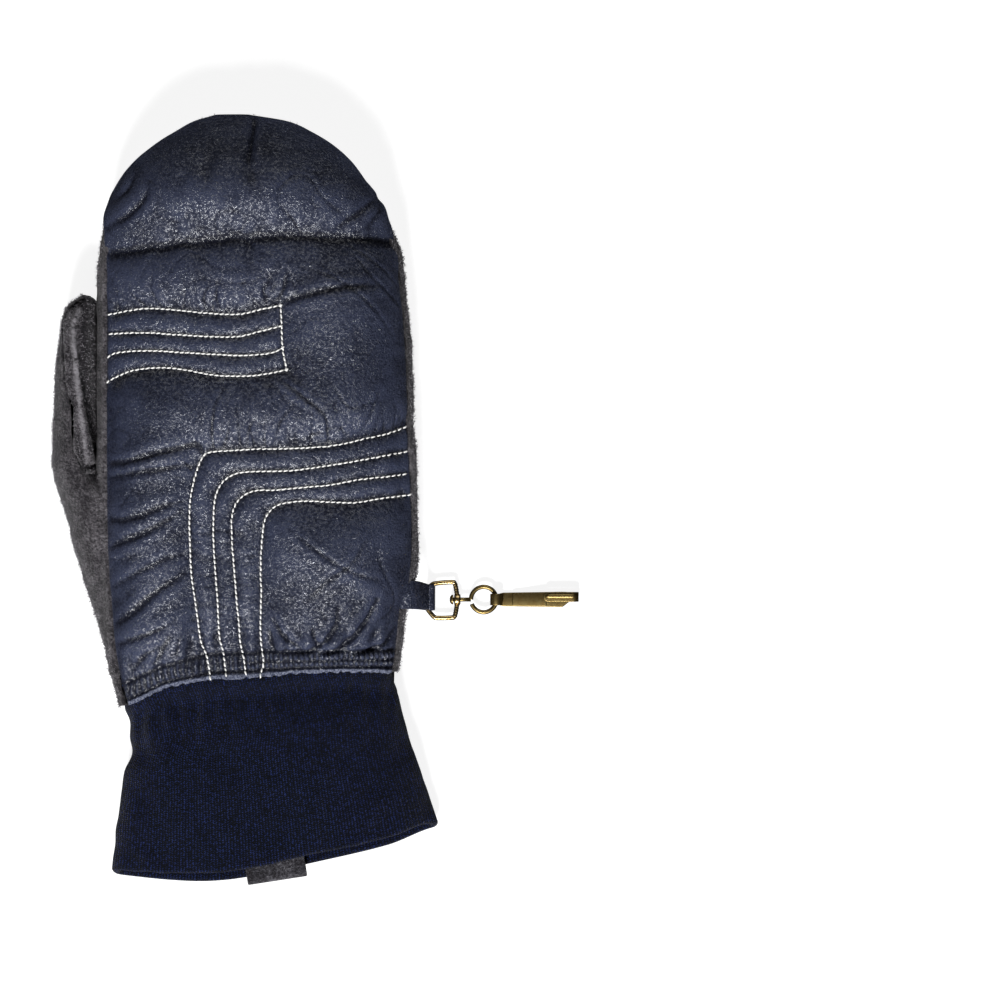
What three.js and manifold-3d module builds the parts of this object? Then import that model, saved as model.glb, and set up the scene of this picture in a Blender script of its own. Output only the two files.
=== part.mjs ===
// A padded leather ski mitten for the right hand, lying palm down, with its swivel clip.
// Millimetres. +X runs from the thumb side to the clip side, +Y to the fingertip, +Z up.
// The origin is on the flat underside of the palm, at the middle of the hand's width.

import * as THREE from 'three';
import { mergeVertices } from 'three/addons/utils/BufferGeometryUtils.js';
import Module from 'manifold-3d';

const wasm = await Module();
wasm.setup();

// Hand
const HAND_LENGTH = 224;
const HAND_WIDTH = 128.6;
const HAND_HEIGHT = 47;
const ORIGIN_SHARE = 0.45;
const BACK_WALL = 5.5;
const SUEDE_WALL = 3;
const HEM_WALL = 2.2;
const SEAM_GAP = 0.3;

// Relief of the padded back
const GROOVE_DEPTH = 1.8;
const GROOVE_WIDTH = 2.4;
const RIB_RISE = 0.7;
const RIB_WIDTH = 9;
const TUCK_RISE = 2.6;
const TUCK_WIDTH = 7;
const TUCK_ROLL = 15;
const CREASE_WIDTH = 3.2;
const GATHER_DEPTH = 1.1;
const GATHER_COUNT = 11;
const GATHER_LENGTH = 12;
const HEM_BAND = 8;
const HEM_PINCH = 3;

// Thumb
const THUMB_LENGTH = 72;
const THUMB_WIDTH = 17.6;
const THUMB_HEIGHT = 32;
const THUMB_GAP = 0.4;
const CROTCH_SHARE = 0.3625;
const PIPING_RADIUS = 0.9;

// Knit cuff
const CUFF_LENGTH = 75;
const CUFF_HEIGHT = 27;
const CUFF_WALL = 3.5;
const CUFF_TUCKED_IN = 14;
const CUFF_GAP = 0.35;
const MOUTH_STEP = 4;

// Pull tab in the mouth of the cuff
const PULL_WIDTH = 24;
const PULL_LENGTH = 14;
const PULL_STANDS_OUT = 3.4;
const PULL_LEATHER = 1.4;
const PULL_LOOP = 1.4;
const PULL_ACROSS = 0.11;
const PULL_TURN = 8.8;

// Clip, whose pin lies along X at one height above the surface
const CLIP_ALONG = 0.1357;
const AXIS_HEIGHT = 2.8;
const EYE_LENGTH = 10.5;
const EYE_WIDTH = 15;
const EYE_WIRE = 1.9;
const EYE_CORNER = 1.7;
const BOSS_LENGTH = 2.6;
const BOSS_DIAMETER = 4.6;
const PIN_DIAMETER = 1.7;
const PIN_PLAY = 0.3;
const RIVET_DIAMETER = 4;
const RIVET_HEIGHT = 1.5;
const RING_DIAMETER = 12;
const RING_WIRE = 1.8;
const RING_SWEEP = 340;
const SHANK_LENGTH = 4.2;
const STRIP_WIDTH = 6;
const STRIP_THICKNESS = 0.8;
const KNUCKLE_WIDTH = 4.6;
const KNUCKLE_PLAY = 0.25;
const HOOK_LENGTH = 33.1;
const HOOK_SHOULDER = 3.6;
const ARM_WIDTH = 3.9;
const ARM_OFFSET = 1.05;
const HOOK_GAP = 3;
const HOOK_TIP = 12.1;
const GATE_THICKNESS = 0.5;
const GATE_LAP = 1.6;
const GATE_ROOT = 6.2;
const GATE_PLAY = 0.3;

// Clip tab, a leather strip folded round the bar of the eye
const TAB_ROOT_WIDTH = 12.4;
const TAB_BAR_WIDTH = 8.6;
const TAB_LEATHER = 1.3;
const TAB_PLAY = 0.3;
const TAB_REACH = 10.5;
const TAB_TUCKED_IN = 4;

// Fineness of the faceted walls
const BACK_COLUMNS = { top: 40, under: 8 };
const PALM_COLUMNS = { top: 26, under: 12 };
const THUMB_COLUMNS = { top: 16, under: 8 };
const THUMB_HOLLOW_COLUMNS = { top: 10, under: 6 };
const LINING_COLUMNS = { top: 24, under: 10 };
const WIRE_SIDES = 8;
const EYE_STEPS = 28;
const RING_STEPS = 24;
const DOME_POWER = 2.2;
const UNDERSIDE_POWER = 4;
const UNDERSIDE_SINK = 0.06;
const WIDEST_SHARE = 0.36;

const HALF_WIDTH = HAND_WIDTH / 2;
const HEM_Y = -ORIGIN_SHARE * HAND_LENGTH;

// The hand's sections from hem to fingertip: left and right as shares of the half width,
// bottom and top as shares of the height.
const HAND_SECTIONS = [
  { along: -0.08, left: 0.862, right: 0.866, bottom: 0, top: 0.68 },
  { along: 0, left: 0.866, right: 0.876, bottom: 0, top: 0.70 },
  { along: 0.064, left: 0.935, right: 0.907, bottom: 0, top: 0.78 },
  { along: 0.121, left: 0.966, right: 0.932, bottom: 0, top: 0.85 },
  { along: 0.180, left: 0.985, right: 0.992, bottom: 0, top: 0.91 },
  { along: 0.279, left: 0.997, right: 1.0, bottom: 0, top: 0.97 },
  { along: 0.363, left: 1.0, right: 0.994, bottom: 0, top: 1.0 },
  { along: 0.457, left: 1.0, right: 0.975, bottom: 0, top: 1.0 },
  { along: 0.564, left: 1.0, right: 0.963, bottom: 0, top: 0.97 },
  { along: 0.641, left: 1.0, right: 0.944, bottom: 0, top: 0.94 },
  { along: 0.700, left: 0.998, right: 0.919, bottom: 0, top: 0.91 },
  { along: 0.750, left: 0.984, right: 0.900, bottom: 0, top: 0.89 },
  { along: 0.789, left: 0.960, right: 0.851, bottom: 0, top: 0.88 },
  { along: 0.827, left: 0.938, right: 0.782, bottom: 0, top: 0.875 },
  { along: 0.866, left: 0.879, right: 0.689, bottom: 0, top: 0.855 },
  { along: 0.909, left: 0.773, right: 0.593, bottom: 0, top: 0.79 },
  { along: 0.943, left: 0.636, right: 0.478, bottom: 0.01, top: 0.69 },
  { along: 0.971, left: 0.499, right: 0.328, bottom: 0.04, top: 0.56 },
  { along: 0.989, left: 0.394, right: 0.185, bottom: 0.09, top: 0.44 },
  { along: 1, left: 0.263, right: -0.045, bottom: 0.16, top: 0.34 },
];

// Rows of the faceted hand, closer together where the relief is fine.
const BACK_ROWS = [
  { upTo: 0.05, rows: 4 },
  { upTo: 0.5, rows: 14 },
  { upTo: 0.67, rows: 10 },
  { upTo: 0.76, rows: 4 },
  { upTo: 0.81, rows: 4 },
  { upTo: 0.93, rows: 4 },
  { upTo: 1, rows: 5 },
];
const PALM_ROWS = [
  { upTo: 0.12, rows: 3 },
  { upTo: 0.72, rows: 7 },
  { upTo: 0.93, rows: 5 },
  { upTo: 1, rows: 4 },
];

// How far the hem hangs below its middle, across the half width, as a share of the hand's length.
const HEM_LINE = [
  { across: -1, drop: 0.062 },
  { across: -0.829, drop: 0.055 },
  { across: -0.686, drop: 0.037 },
  { across: -0.543, drop: 0.018 },
  { across: -0.281, drop: 0.005 },
  { across: 0, drop: 0.001 },
  { across: 0.25, drop: -0.008 },
  { across: 0.67, drop: -0.009 },
  { across: 1, drop: 0 },
];

// The tuck across the fingers, where the tip laps over the back.
const TUCK_LINE = [
  { across: -0.935, along: 0.7536 },
  { across: -0.698, along: 0.7625 },
  { across: -0.095, along: 0.7804 },
  { across: 0.39, along: 0.7821 },
  { across: 0.85, along: 0.7732 },
];

// Four stitched grooves over the knuckles, from the thumb seam to a closing column.
const UPPER_GROOVES = [
  { left: 0.643, middle: 0.651, right: 0.658 },
  { left: 0.609, middle: 0.609, right: 0.621 },
  { left: 0.564, middle: 0.578, right: 0.583 },
  { left: 0.520, middle: 0.548, right: 0.545 },
];
const UPPER_ENDS = { left: -0.93, middle: -0.45, right: 0.175 };

// Four stitched grooves that come in from the clip side and turn down to the hem.
const LOWER_GROOVES = [
  { seam: 0.446, shelf: 0.400, column: -0.400, hem: -0.282 },
  { seam: 0.402, shelf: 0.361, column: -0.250, hem: -0.182 },
  { seam: 0.362, shelf: 0.330, column: -0.138, hem: -0.058 },
  { seam: 0.323, shelf: 0.309, column: 0.042, hem: 0.030 },
];

// Creases of the back, each from one place to another, with its depth as a share of the wall.
const CREASES = [
  { across: -0.925, along: 0.385, toAcross: -0.33, toAlong: 0.405, depth: 0.34 },
  { across: -0.925, along: 0.365, toAcross: -0.36, toAlong: 0.382, depth: 0.24 },
  { across: -0.915, along: 0.279, toAcross: -0.45, toAlong: 0.303, depth: 0.26 },
  { across: -0.925, along: 0.236, toAcross: -0.45, toAlong: 0.284, depth: 0.24 },
  { across: -0.91, along: 0.088, toAcross: -0.45, toAlong: 0.181, depth: 0.30 },
  { across: -0.88, along: 0.055, toAcross: -0.48, toAlong: 0.107, depth: 0.22 },
  { across: 0.16, along: 0.662, toAcross: 0.70, toAlong: 0.686, depth: 0.26 },
  { across: -0.30, along: 0.658, toAcross: -0.22, toAlong: 0.705, depth: 0.18 },
];

// Thumb sections from inside the hand, past the crotch at 0, to the tip at 1: outer and inner
// as shares of the thumb's width from the hand's side, bottom and top as shares of its height.
const THUMB_SECTIONS = [
  { along: -0.97, outer: -0.17, inner: -0.95, bottom: 0.08, top: 0.44 },
  { along: -0.761, outer: 0.10, inner: -0.90, bottom: 0, top: 0.60 },
  { along: -0.578, outer: 0.341, inner: -0.85, bottom: 0, top: 0.72 },
  { along: -0.411, outer: 0.523, inner: -0.75, bottom: 0, top: 0.82 },
  { along: -0.244, outer: 0.705, inner: -0.55, bottom: 0, top: 0.90 },
  { along: -0.089, outer: 0.909, inner: -0.28, bottom: 0, top: 0.96 },
  { along: 0, outer: 0.975, inner: -0.02, bottom: 0, top: 0.98 },
  { along: 0.061, outer: 1.0, inner: 0.04, bottom: 0, top: 1.0 },
  { along: 0.156, outer: 1.0, inner: 0.04, bottom: 0, top: 1.0 },
  { along: 0.35, outer: 0.977, inner: 0.04, bottom: 0, top: 1.0 },
  { along: 0.506, outer: 0.955, inner: 0.04, bottom: 0, top: 1.0 },
  { along: 0.628, outer: 0.932, inner: 0.04, bottom: 0, top: 0.99 },
  { along: 0.756, outer: 0.83, inner: 0.04, bottom: 0.03, top: 0.95 },
  { along: 0.861, outer: 0.77, inner: 0.05, bottom: 0.08, top: 0.88 },
  { along: 0.939, outer: 0.602, inner: 0.08, bottom: 0.17, top: 0.78 },
  { along: 0.989, outer: 0.33, inner: 0.13, bottom: 0.29, top: 0.64 },
];

// The seam between the thumb's outer face and its gusset, and the piped seam on the gusset.
const GUSSET_LINE = [
  { along: 0.955, across: 0.02 },
  { along: 0.945, across: 0.34 },
  { along: 0.894, across: 0.57 },
  { along: 0.817, across: 0.66 },
  { along: 0.544, across: 0.636 },
  { along: 0.35, across: 0.477 },
  { along: 0.117, across: 0.455 },
  { along: 0.012, across: 0.23 },
  { along: 0.0, across: -0.05 },
];
const PIPING_LINE = [
  { along: 0.90, across: 0.36 },
  { along: 0.817, across: 0.455 },
  { along: 0.628, across: 0.41 },
  { along: 0.428, across: 0.34 },
  { along: 0.233, across: 0.25 },
  { along: 0.061, across: 0.16 },
];

// Cuff sections from the hem to the mouth: sides as shares of the hand's half width, bottom
// and top as shares of the cuff's height.
const CUFF_SECTIONS = [
  { along: 0.12, left: 0.80, right: 0.868, bottom: 0.07, top: 0.98 },
  { along: 0.2, left: 0.804, right: 0.894, bottom: 0.02, top: 0.99 },
  { along: 0.3, left: 0.786, right: 0.919, bottom: 0, top: 0.97 },
  { along: 0.4, left: 0.832, right: 0.944, bottom: 0, top: 0.94 },
  { along: 0.6, left: 0.851, right: 1.0, bottom: 0, top: 0.88 },
  { along: 0.8, left: 0.882, right: 1.068, bottom: 0, top: 0.80 },
  { along: 1, left: 0.91, right: 1.124, bottom: 0, top: 0.72 },
];

// How much shorter the cuff is than its full length, across the half width.
const MOUTH_LINE = [
  { across: -1, short: 0.015 },
  { across: -0.91, short: 0.005 },
  { across: -0.40, short: -0.03 },
  { across: -0.10, short: -0.012 },
  { across: 0.32, short: 0.065 },
  { across: 0.81, short: 0.165 },
  { across: 1.05, short: 0.245 },
  { across: 1.2, short: 0.27 },
];

// Value of one column of a table at a place along its key column, on smooth curves.
function sample(table, key, column, place) {
  const last = table.length - 1;
  const slope = (i) => {
    const before = table[Math.max(i - 1, 0)];
    const after = table[Math.min(i + 1, last)];
    return (after[column] - before[column]) / (after[key] - before[key]);
  };
  if (place <= table[0][key]) return table[0][column];
  if (place >= table[last][key]) return table[last][column];
  let i = 0;
  while (table[i + 1][key] < place) i += 1;
  const span = table[i + 1][key] - table[i][key];
  const s = (place - table[i][key]) / span;
  const rise = table[i + 1][column] - table[i][column];
  const start = slope(i) * span;
  const end = slope(i + 1) * span;
  const bend = (1 - s) * (start - rise) - s * (end - rise);
  return table[i][column] + s * rise + s * (1 - s) * bend;
}

const smooth = (from, to, value) => THREE.MathUtils.smoothstep(value, from, to);
const bell = (distance, width) => Math.exp(-((distance / width) ** 2));

// Closed surface through rings of points; a looped one joins its last ring to its first.
function loft(rings, looped = false) {
  const around = rings[0].length;
  const positions = rings.flat().flatMap((p) => [p.x, p.y, p.z]);
  const triangles = [];
  const spans = looped ? rings.length : rings.length - 1;
  for (let r = 0; r < spans; r += 1) {
    const low = r * around;
    const high = ((r + 1) % rings.length) * around;
    for (let k = 0; k < around; k += 1) {
      const next = (k + 1) % around;
      triangles.push(low + k, low + next, high + next);
      triangles.push(low + k, high + next, high + k);
    }
  }
  if (!looped) {
    const ends = [[rings[0], 0, -1], [rings[rings.length - 1], (rings.length - 1) * around, 1]];
    for (const [ring, first, side] of ends) {
      const middle = positions.length / 3;
      const centre = ring.reduce((sum, p) => sum.add(p), new THREE.Vector3()).divideScalar(around);
      positions.push(centre.x, centre.y, centre.z);
      for (let k = 0; k < around; k += 1) {
        const next = (k + 1) % around;
        if (side > 0) triangles.push(middle, first + k, first + next);
        else triangles.push(middle, first + next, first + k);
      }
    }
  }
  return closedSolid(positions, triangles);
}

// A solid from plain arrays, turned inside out where its faces point in.
function closedSolid(positions, triangles) {
  const made = new wasm.Manifold(new wasm.Mesh({
    numProp: 3,
    vertProperties: new Float32Array(positions),
    triVerts: new Uint32Array(triangles),
  }));
  if (made.volume() > 0) return made;
  const turned = [];
  for (let i = 0; i < triangles.length; i += 3) {
    turned.push(triangles[i], triangles[i + 2], triangles[i + 1]);
  }
  return closedSolid(positions, turned);
}

// A solid from a three.js geometry.
function solidOf(geometry) {
  const bare = geometry.clone();
  bare.deleteAttribute('normal');
  bare.deleteAttribute('uv');
  const merged = mergeVertices(bare, 1e-4);
  return closedSolid(Array.from(merged.attributes.position.array), Array.from(merged.index.array));
}

function geometryOf(solid) {
  const mesh = solid.getMesh();
  const geometry = new THREE.BufferGeometry();
  const positions = new Float32Array(mesh.numVert * 3);
  for (let i = 0; i < mesh.numVert; i += 1) {
    for (let axis = 0; axis < 3; axis += 1) {
      positions[3 * i + axis] = mesh.vertProperties[mesh.numProp * i + axis];
    }
  }
  geometry.setAttribute('position', new THREE.BufferAttribute(positions, 3));
  geometry.setIndex(new THREE.BufferAttribute(new Uint32Array(mesh.triVerts), 1));
  geometry.computeVertexNormals();
  return geometry;
}

// A block with flat sides between two corners.
function block(low, high) {
  const size = new THREE.Vector3().subVectors(high, low);
  const box = new THREE.BoxGeometry(size.x, size.y, size.z);
  const middle = new THREE.Vector3().addVectors(low, high).multiplyScalar(0.5);
  return solidOf(box.translate(middle.x, middle.y, middle.z));
}

// A domed outline in a box of left, right, bottom and top, flat where it rests. The y of each
// point comes from a function of its x and of its height as a share of the box.
function domedRing(box, columns, yAt, relief = () => 0) {
  const centre = (box.left + box.right) / 2;
  const half = (box.right - box.left) / 2;
  const tall = box.top - box.bottom;
  const widest = box.bottom + WIDEST_SHARE * tall;
  const point = (angle, power, rise) => {
    const c = Math.cos(angle);
    const s = Math.sin(angle);
    const x = centre + half * Math.sign(c) * Math.abs(c) ** (2 / power);
    return { x, z: widest + rise * Math.sign(s) * Math.abs(s) ** (2 / power) };
  };
  const ring = [];
  for (let k = 0; k < columns.top; k += 1) {
    const p = point(Math.PI * k / columns.top, DOME_POWER, box.top - widest);
    const share = (p.z - box.bottom) / tall;
    const y = yAt(p.x, share);
    ring.push(new THREE.Vector3(p.x, y, p.z + relief(p.x, y, share)));
  }
  for (let k = 0; k < columns.under; k += 1) {
    const angle = Math.PI * (1 + k / columns.under);
    const p = point(angle, UNDERSIDE_POWER, (widest - box.bottom) * (1 + UNDERSIDE_SINK));
    const z = Math.max(p.z, box.bottom);
    ring.push(new THREE.Vector3(p.x, yAt(p.x, (z - box.bottom) / tall), z));
  }
  return ring;
}

// Box of the hand's section at one place along it, in millimetres.
function handBox(along) {
  const at = (column) => sample(HAND_SECTIONS, 'along', column, along);
  return {
    left: -at('left') * HALF_WIDTH,
    right: at('right') * HALF_WIDTH,
    bottom: Math.max(at('bottom'), 0) * HAND_HEIGHT,
    top: at('top') * HAND_HEIGHT,
  };
}

function hemDrop(x) {
  return sample(HEM_LINE, 'across', 'drop', x / HALF_WIDTH) * HAND_LENGTH;
}

// Y of a point on the hand: straight across, but bent down to the slanted hem near it.
function handY(x, along) {
  const fade = 1 - smooth(0, 0.14, along);
  return HEM_Y + along * HAND_LENGTH - fade * hemDrop(x);
}

// Distance in the plan from a point to a chain of straight stretches.
function distanceToChain(x, y, chain) {
  let nearest = Infinity;
  for (let i = 0; i + 1 < chain.length; i += 1) {
    const [ax, ay] = chain[i];
    const [bx, by] = chain[i + 1];
    const length = (bx - ax) ** 2 + (by - ay) ** 2;
    const s = THREE.MathUtils.clamp(((x - ax) * (bx - ax) + (y - ay) * (by - ay)) / length, 0, 1);
    nearest = Math.min(nearest, Math.hypot(x - ax - s * (bx - ax), y - ay - s * (by - ay)));
  }
  return nearest;
}

const onBack = (across, along) => [across * HALF_WIDTH, HEM_Y + along * HAND_LENGTH];

const grooveChains = [
  ...UPPER_GROOVES.map((row) => [
    onBack(UPPER_ENDS.left, row.left),
    onBack(UPPER_ENDS.middle, row.middle),
    onBack(UPPER_ENDS.right, row.right),
  ]),
  [
    onBack(UPPER_ENDS.right, UPPER_GROOVES[0].right),
    onBack(UPPER_ENDS.right, UPPER_GROOVES.at(-1).right),
  ],
  ...LOWER_GROOVES.map((row) => [
    onBack(0.93, row.seam),
    onBack(row.column + 0.35, (row.seam + 2 * row.shelf) / 3),
    onBack(row.column + 0.08, row.shelf),
    onBack(row.column, row.shelf - 0.03),
    onBack(row.column, 0.15),
    onBack(row.hem, 0.01),
  ]),
];

const creaseChains = CREASES.map((crease) => ({
  depth: crease.depth * BACK_WALL,
  chain: [onBack(crease.across, crease.along), onBack(crease.toAcross, crease.toAlong)],
}));

// Rise and fall of the padded back at a point of the plan, nothing near the side seams.
function backRelief(x, y, share) {
  const inside = smooth(0.6, 0.8, share);
  if (inside === 0) return 0;
  const across = x / HALF_WIDTH;
  const along = (y - HEM_Y) / HAND_LENGTH;
  const beyondTuck = (along - sample(TUCK_LINE, 'across', 'along', across)) * HAND_LENGTH;
  const over = smooth(-0.5 * TUCK_WIDTH, 0.5 * TUCK_WIDTH, beyondTuck);
  const rolled = over * bell(beyondTuck - TUCK_WIDTH, TUCK_ROLL);
  const tuckedIn = (1 - over) * bell(beyondTuck, TUCK_WIDTH) / 2;
  const tuck = TUCK_RISE * (rolled - tuckedIn);
  const toGroove = Math.min(...grooveChains.map((chain) => distanceToChain(x, y, chain)));
  const groove = RIB_RISE * bell(toGroove, RIB_WIDTH) - (GROOVE_DEPTH + RIB_RISE) * bell(toGroove, GROOVE_WIDTH);
  const crease = creaseChains.reduce(
    (sum, { depth, chain }) => sum + depth * bell(distanceToChain(x, y, chain), CREASE_WIDTH),
    0,
  );
  const aboveHem = (y - HEM_Y + hemDrop(x)) - HEM_BAND;
  const wave = Math.cos(across * GATHER_COUNT * Math.PI);
  const gathers = GATHER_DEPTH * wave * bell(aboveHem - GATHER_LENGTH / 2, GATHER_LENGTH);
  const pinch = GROOVE_DEPTH * bell(aboveHem, HEM_PINCH);
  return inside * (tuck + groove - crease + gathers - pinch);
}

function placesOf(spans) {
  return spans.flatMap((span, i) => {
    const from = i ? spans[i - 1].upTo : 0;
    const step = (span.upTo - from) / span.rows;
    return Array.from({ length: span.rows }, (_, k) => from + k * step);
  }).concat(1);
}

// The hand's outer form, grown by a clearance where something has to stay clear of it.
function handSolid(spans, columns, relief, grown = 0) {
  return loft(placesOf(spans).map((along) => {
    const box = handBox(along);
    const larger = {
      left: box.left - grown,
      right: box.right + grown,
      bottom: box.bottom - grown,
      top: box.top + grown,
    };
    return domedRing(larger, columns, (x) => handY(x, along) + grown * (along === 1), relief);
  }));
}

// Wall of the hand at one place: thin at the hem, padded above it.
function handWalls(along) {
  const padded = smooth(0.0, 0.1, along);
  return {
    side: THREE.MathUtils.lerp(HEM_WALL, SUEDE_WALL, padded),
    back: THREE.MathUtils.lerp(HEM_WALL, BACK_WALL, padded),
    palm: THREE.MathUtils.lerp(HEM_WALL, SUEDE_WALL, padded),
  };
}

// Box of the hollow, which follows the outer form a wall further in, at the fingertip too.
function hollowBox(along) {
  const ahead = smooth(0.55, 0.93, along) * BACK_WALL / HAND_LENGTH;
  const box = handBox(Math.min(along + ahead, 1));
  const wall = handWalls(along);
  return {
    left: box.left + wall.side,
    right: box.right - wall.side,
    bottom: box.bottom + wall.palm,
    top: box.top - wall.back,
  };
}

function handHollow() {
  const places = [-0.1, -0.02, 0, 0.03, 0.06, 0.1, 0.15, 0.25, 0.37, 0.5, 0.62, 0.73, 0.81,
    0.87, 0.92, 0.95];
  return loft(places.map(
    (along) => domedRing(hollowBox(along), LINING_COLUMNS, (x) => handY(x, along)),
  ));
}

const CROTCH_Y = HEM_Y + CROTCH_SHARE * HAND_LENGTH;
const thumbX = (across) => -HALF_WIDTH - across * THUMB_WIDTH;
const thumbY = (along) => CROTCH_Y + along * THUMB_LENGTH;

function thumbBox(along, wall = 0) {
  const at = (column) => sample(THUMB_SECTIONS, 'along', column, along);
  return {
    left: thumbX(at('outer')) + wall,
    right: thumbX(at('inner')) - wall,
    bottom: Math.max(at('bottom'), 0) * THUMB_HEIGHT + wall,
    top: at('top') * THUMB_HEIGHT - wall,
  };
}

// The thumb's tube, or its hollow where a wall is given.
function thumbSolid(wall = 0) {
  const rows = THUMB_SECTIONS.map((row) => row.along).filter((along) => !wall || along < 0.9);
  const columns = wall ? THUMB_HOLLOW_COLUMNS : THUMB_COLUMNS;
  return loft(rows.map((along) => {
    const y = thumbY(along) - (along > 0.85 ? wall / 2 : 0);
    return domedRing(thumbBox(along, wall), columns, () => y);
  }));
}

// Everything above or below the seam that runs round the hand between back and palm.
const SEAM_SHARE = { left: 0.62, right: 0.54 };
function seamZone(side) {
  const gap = side * SEAM_GAP / 2;
  const far = side > 0 ? 2 * HAND_HEIGHT : -HAND_HEIGHT;
  const columns = 8;
  const places = [-0.15, 0, 0.06, 0.12, 0.2, 0.3, 0.45, 0.6, 0.7, 0.8, 0.87, 0.92, 0.96, 0.985, 1.0, 1.1];
  const rings = places.map((along) => {
    const box = handBox(THREE.MathUtils.clamp(along, 0, 1));
    const y = HEM_Y + along * HAND_LENGTH;
    const ring = [];
    for (let k = 0; k <= columns; k += 1) {
      const s = k / columns;
      const share = THREE.MathUtils.lerp(SEAM_SHARE.left, SEAM_SHARE.right, s);
      const x = THREE.MathUtils.lerp(-HAND_WIDTH, HAND_WIDTH, s);
      ring.push(new THREE.Vector3(x, y, THREE.MathUtils.lerp(box.bottom, box.top, share) + gap));
    }
    ring.push(new THREE.Vector3(HAND_WIDTH, y, far), new THREE.Vector3(-HAND_WIDTH, y, far));
    return ring;
  });
  const around = rings[0].length;
  const positions = rings.flat().flatMap((p) => [p.x, p.y, p.z]);
  const faces = [];
  for (let r = 0; r + 1 < rings.length; r += 1) {
    for (let k = 0; k < around; k += 1) {
      const a = r * around + k;
      const b = r * around + (k + 1) % around;
      faces.push(a, b, b + around, a, b + around, a + around);
    }
  }
  const flat = rings[0].map((p) => new THREE.Vector2(p.x, p.z));
  const lids = THREE.ShapeUtils.triangulateShape(flat, []);
  const turn = THREE.ShapeUtils.isClockWise(flat) ? 1 : -1;
  const last = (rings.length - 1) * around;
  for (const [a, b, c] of lids) {
    const start = turn > 0 ? [a, b, c] : [a, c, b];
    faces.push(...start.map((i) => i));
    faces.push(last + start[0], last + start[2], last + start[1]);
  }
  return closedSolid(positions, orientLids(faces, positions, lids.length));
}

// Turns the lid triangles of a tube until the whole surface is closed.
function orientLids(faces, positions, lidCount) {
  const walls = faces.slice(0, faces.length - 6 * lidCount);
  const lids = faces.slice(faces.length - 6 * lidCount);
  const edges = new Set();
  for (let i = 0; i < walls.length; i += 3) {
    for (let k = 0; k < 3; k += 1) edges.add(`${walls[i + k]},${walls[i + (k + 1) % 3]}`);
  }
  const clashes = lids.some((_, i) => {
    const start = i - (i % 3);
    return edges.has(`${lids[i]},${lids[start + ((i - start + 1) % 3)]}`);
  });
  if (!clashes) return faces;
  const turned = [];
  for (let i = 0; i < lids.length; i += 3) turned.push(lids[i], lids[i + 2], lids[i + 1]);
  return walls.concat(turned);
}

// A prism of a plan outline, over the whole height.
function planPrism(outline) {
  const shape = new THREE.Shape(outline.map(([x, y]) => new THREE.Vector2(x, y)));
  const tall = new THREE.ExtrudeGeometry(shape, { depth: 3 * HAND_HEIGHT, bevelEnabled: false });
  return solidOf(tall.translate(0, 0, -HAND_HEIGHT));
}

// A round bar along a smooth chain of points.
function roundBar(points, radius, steps) {
  const curve = new THREE.CatmullRomCurve3(points);
  const circle = new THREE.Shape().absarc(0, 0, radius, 0, 2 * Math.PI);
  return solidOf(new THREE.ExtrudeGeometry(circle, {
    extrudePath: curve,
    steps,
    curveSegments: WIRE_SIDES / 2,
  }));
}

// A flat outline in X and Z, made solid along Y about a middle.
function sideExtrude(shape, width, middle = 0) {
  const geometry = new THREE.ExtrudeGeometry(shape, { depth: width, bevelEnabled: false, curveSegments: 6 });
  geometry.rotateX(Math.PI / 2);
  return solidOf(geometry.translate(0, middle + width / 2, 0));
}

// Hand and thumb shells
const paddedHand = handSolid(BACK_ROWS, BACK_COLUMNS, backRelief);
const plainHand = handSolid(PALM_ROWS, PALM_COLUMNS, () => 0);
const roomForHand = handSolid(PALM_ROWS, PALM_COLUMNS, () => 0, THUMB_GAP);
const hollow = handHollow();
const thumbTube = thumbSolid();
const thumbHollow = thumbSolid(SUEDE_WALL);
const wide = 4 * HAND_WIDTH;
const beyondCrotch = block(
  new THREE.Vector3(-wide, CROTCH_Y - SEAM_GAP, -wide),
  new THREE.Vector3(wide, wide, wide),
);
const beforeCrotch = block(
  new THREE.Vector3(-wide, -wide, -wide),
  new THREE.Vector3(wide, CROTCH_Y, wide),
);
const roomForBack = roomForHand.intersect(seamZone(1).translate([0, 0, -SEAM_GAP]));

function gussetZone(clearance) {
  const seam = GUSSET_LINE.map(({ along, across }) => {
    const grow = clearance * (across > 0);
    return [thumbX(across) - grow, thumbY(along) + (along > 0.9 ? clearance : 0)];
  });
  const far = [[0, thumbY(0)], [0, thumbY(0.955)]];
  return planPrism([...seam, ...far]);
}

const freeThumb = thumbTube.intersect(beyondCrotch).subtract(roomForHand);
const thumbBase = thumbTube.intersect(beforeCrotch).subtract(roomForBack);
const palmPanel = plainHand.intersect(seamZone(-1))
  .add(thumbBase)
  .add(freeThumb.subtract(gussetZone(SEAM_GAP)))
  .subtract(hollow)
  .subtract(thumbHollow);
const backPanel = paddedHand.intersect(seamZone(1)).subtract(hollow).subtract(thumbHollow);

function piping() {
  const points = PIPING_LINE.map(({ along, across }) => {
    const box = thumbBox(along);
    const half = (box.right - box.left) / 2;
    const off = Math.abs(thumbX(across) - (box.left + box.right) / 2) / half;
    const widest = box.bottom + WIDEST_SHARE * (box.top - box.bottom);
    const rise = (1 - Math.min(off, 1) ** DOME_POWER) ** (1 / DOME_POWER);
    return new THREE.Vector3(thumbX(across), thumbY(along), widest + rise * (box.top - widest));
  });
  return roundBar(points, PIPING_RADIUS, 14);
}
const gusset = freeThumb.intersect(gussetZone(0)).subtract(thumbHollow).add(piping());

// Knit cuff
const mouthShort = (x) => sample(MOUTH_LINE, 'across', 'short', x / HALF_WIDTH) * CUFF_LENGTH;
const CUFF_FREE_FROM = 0.12;

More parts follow.
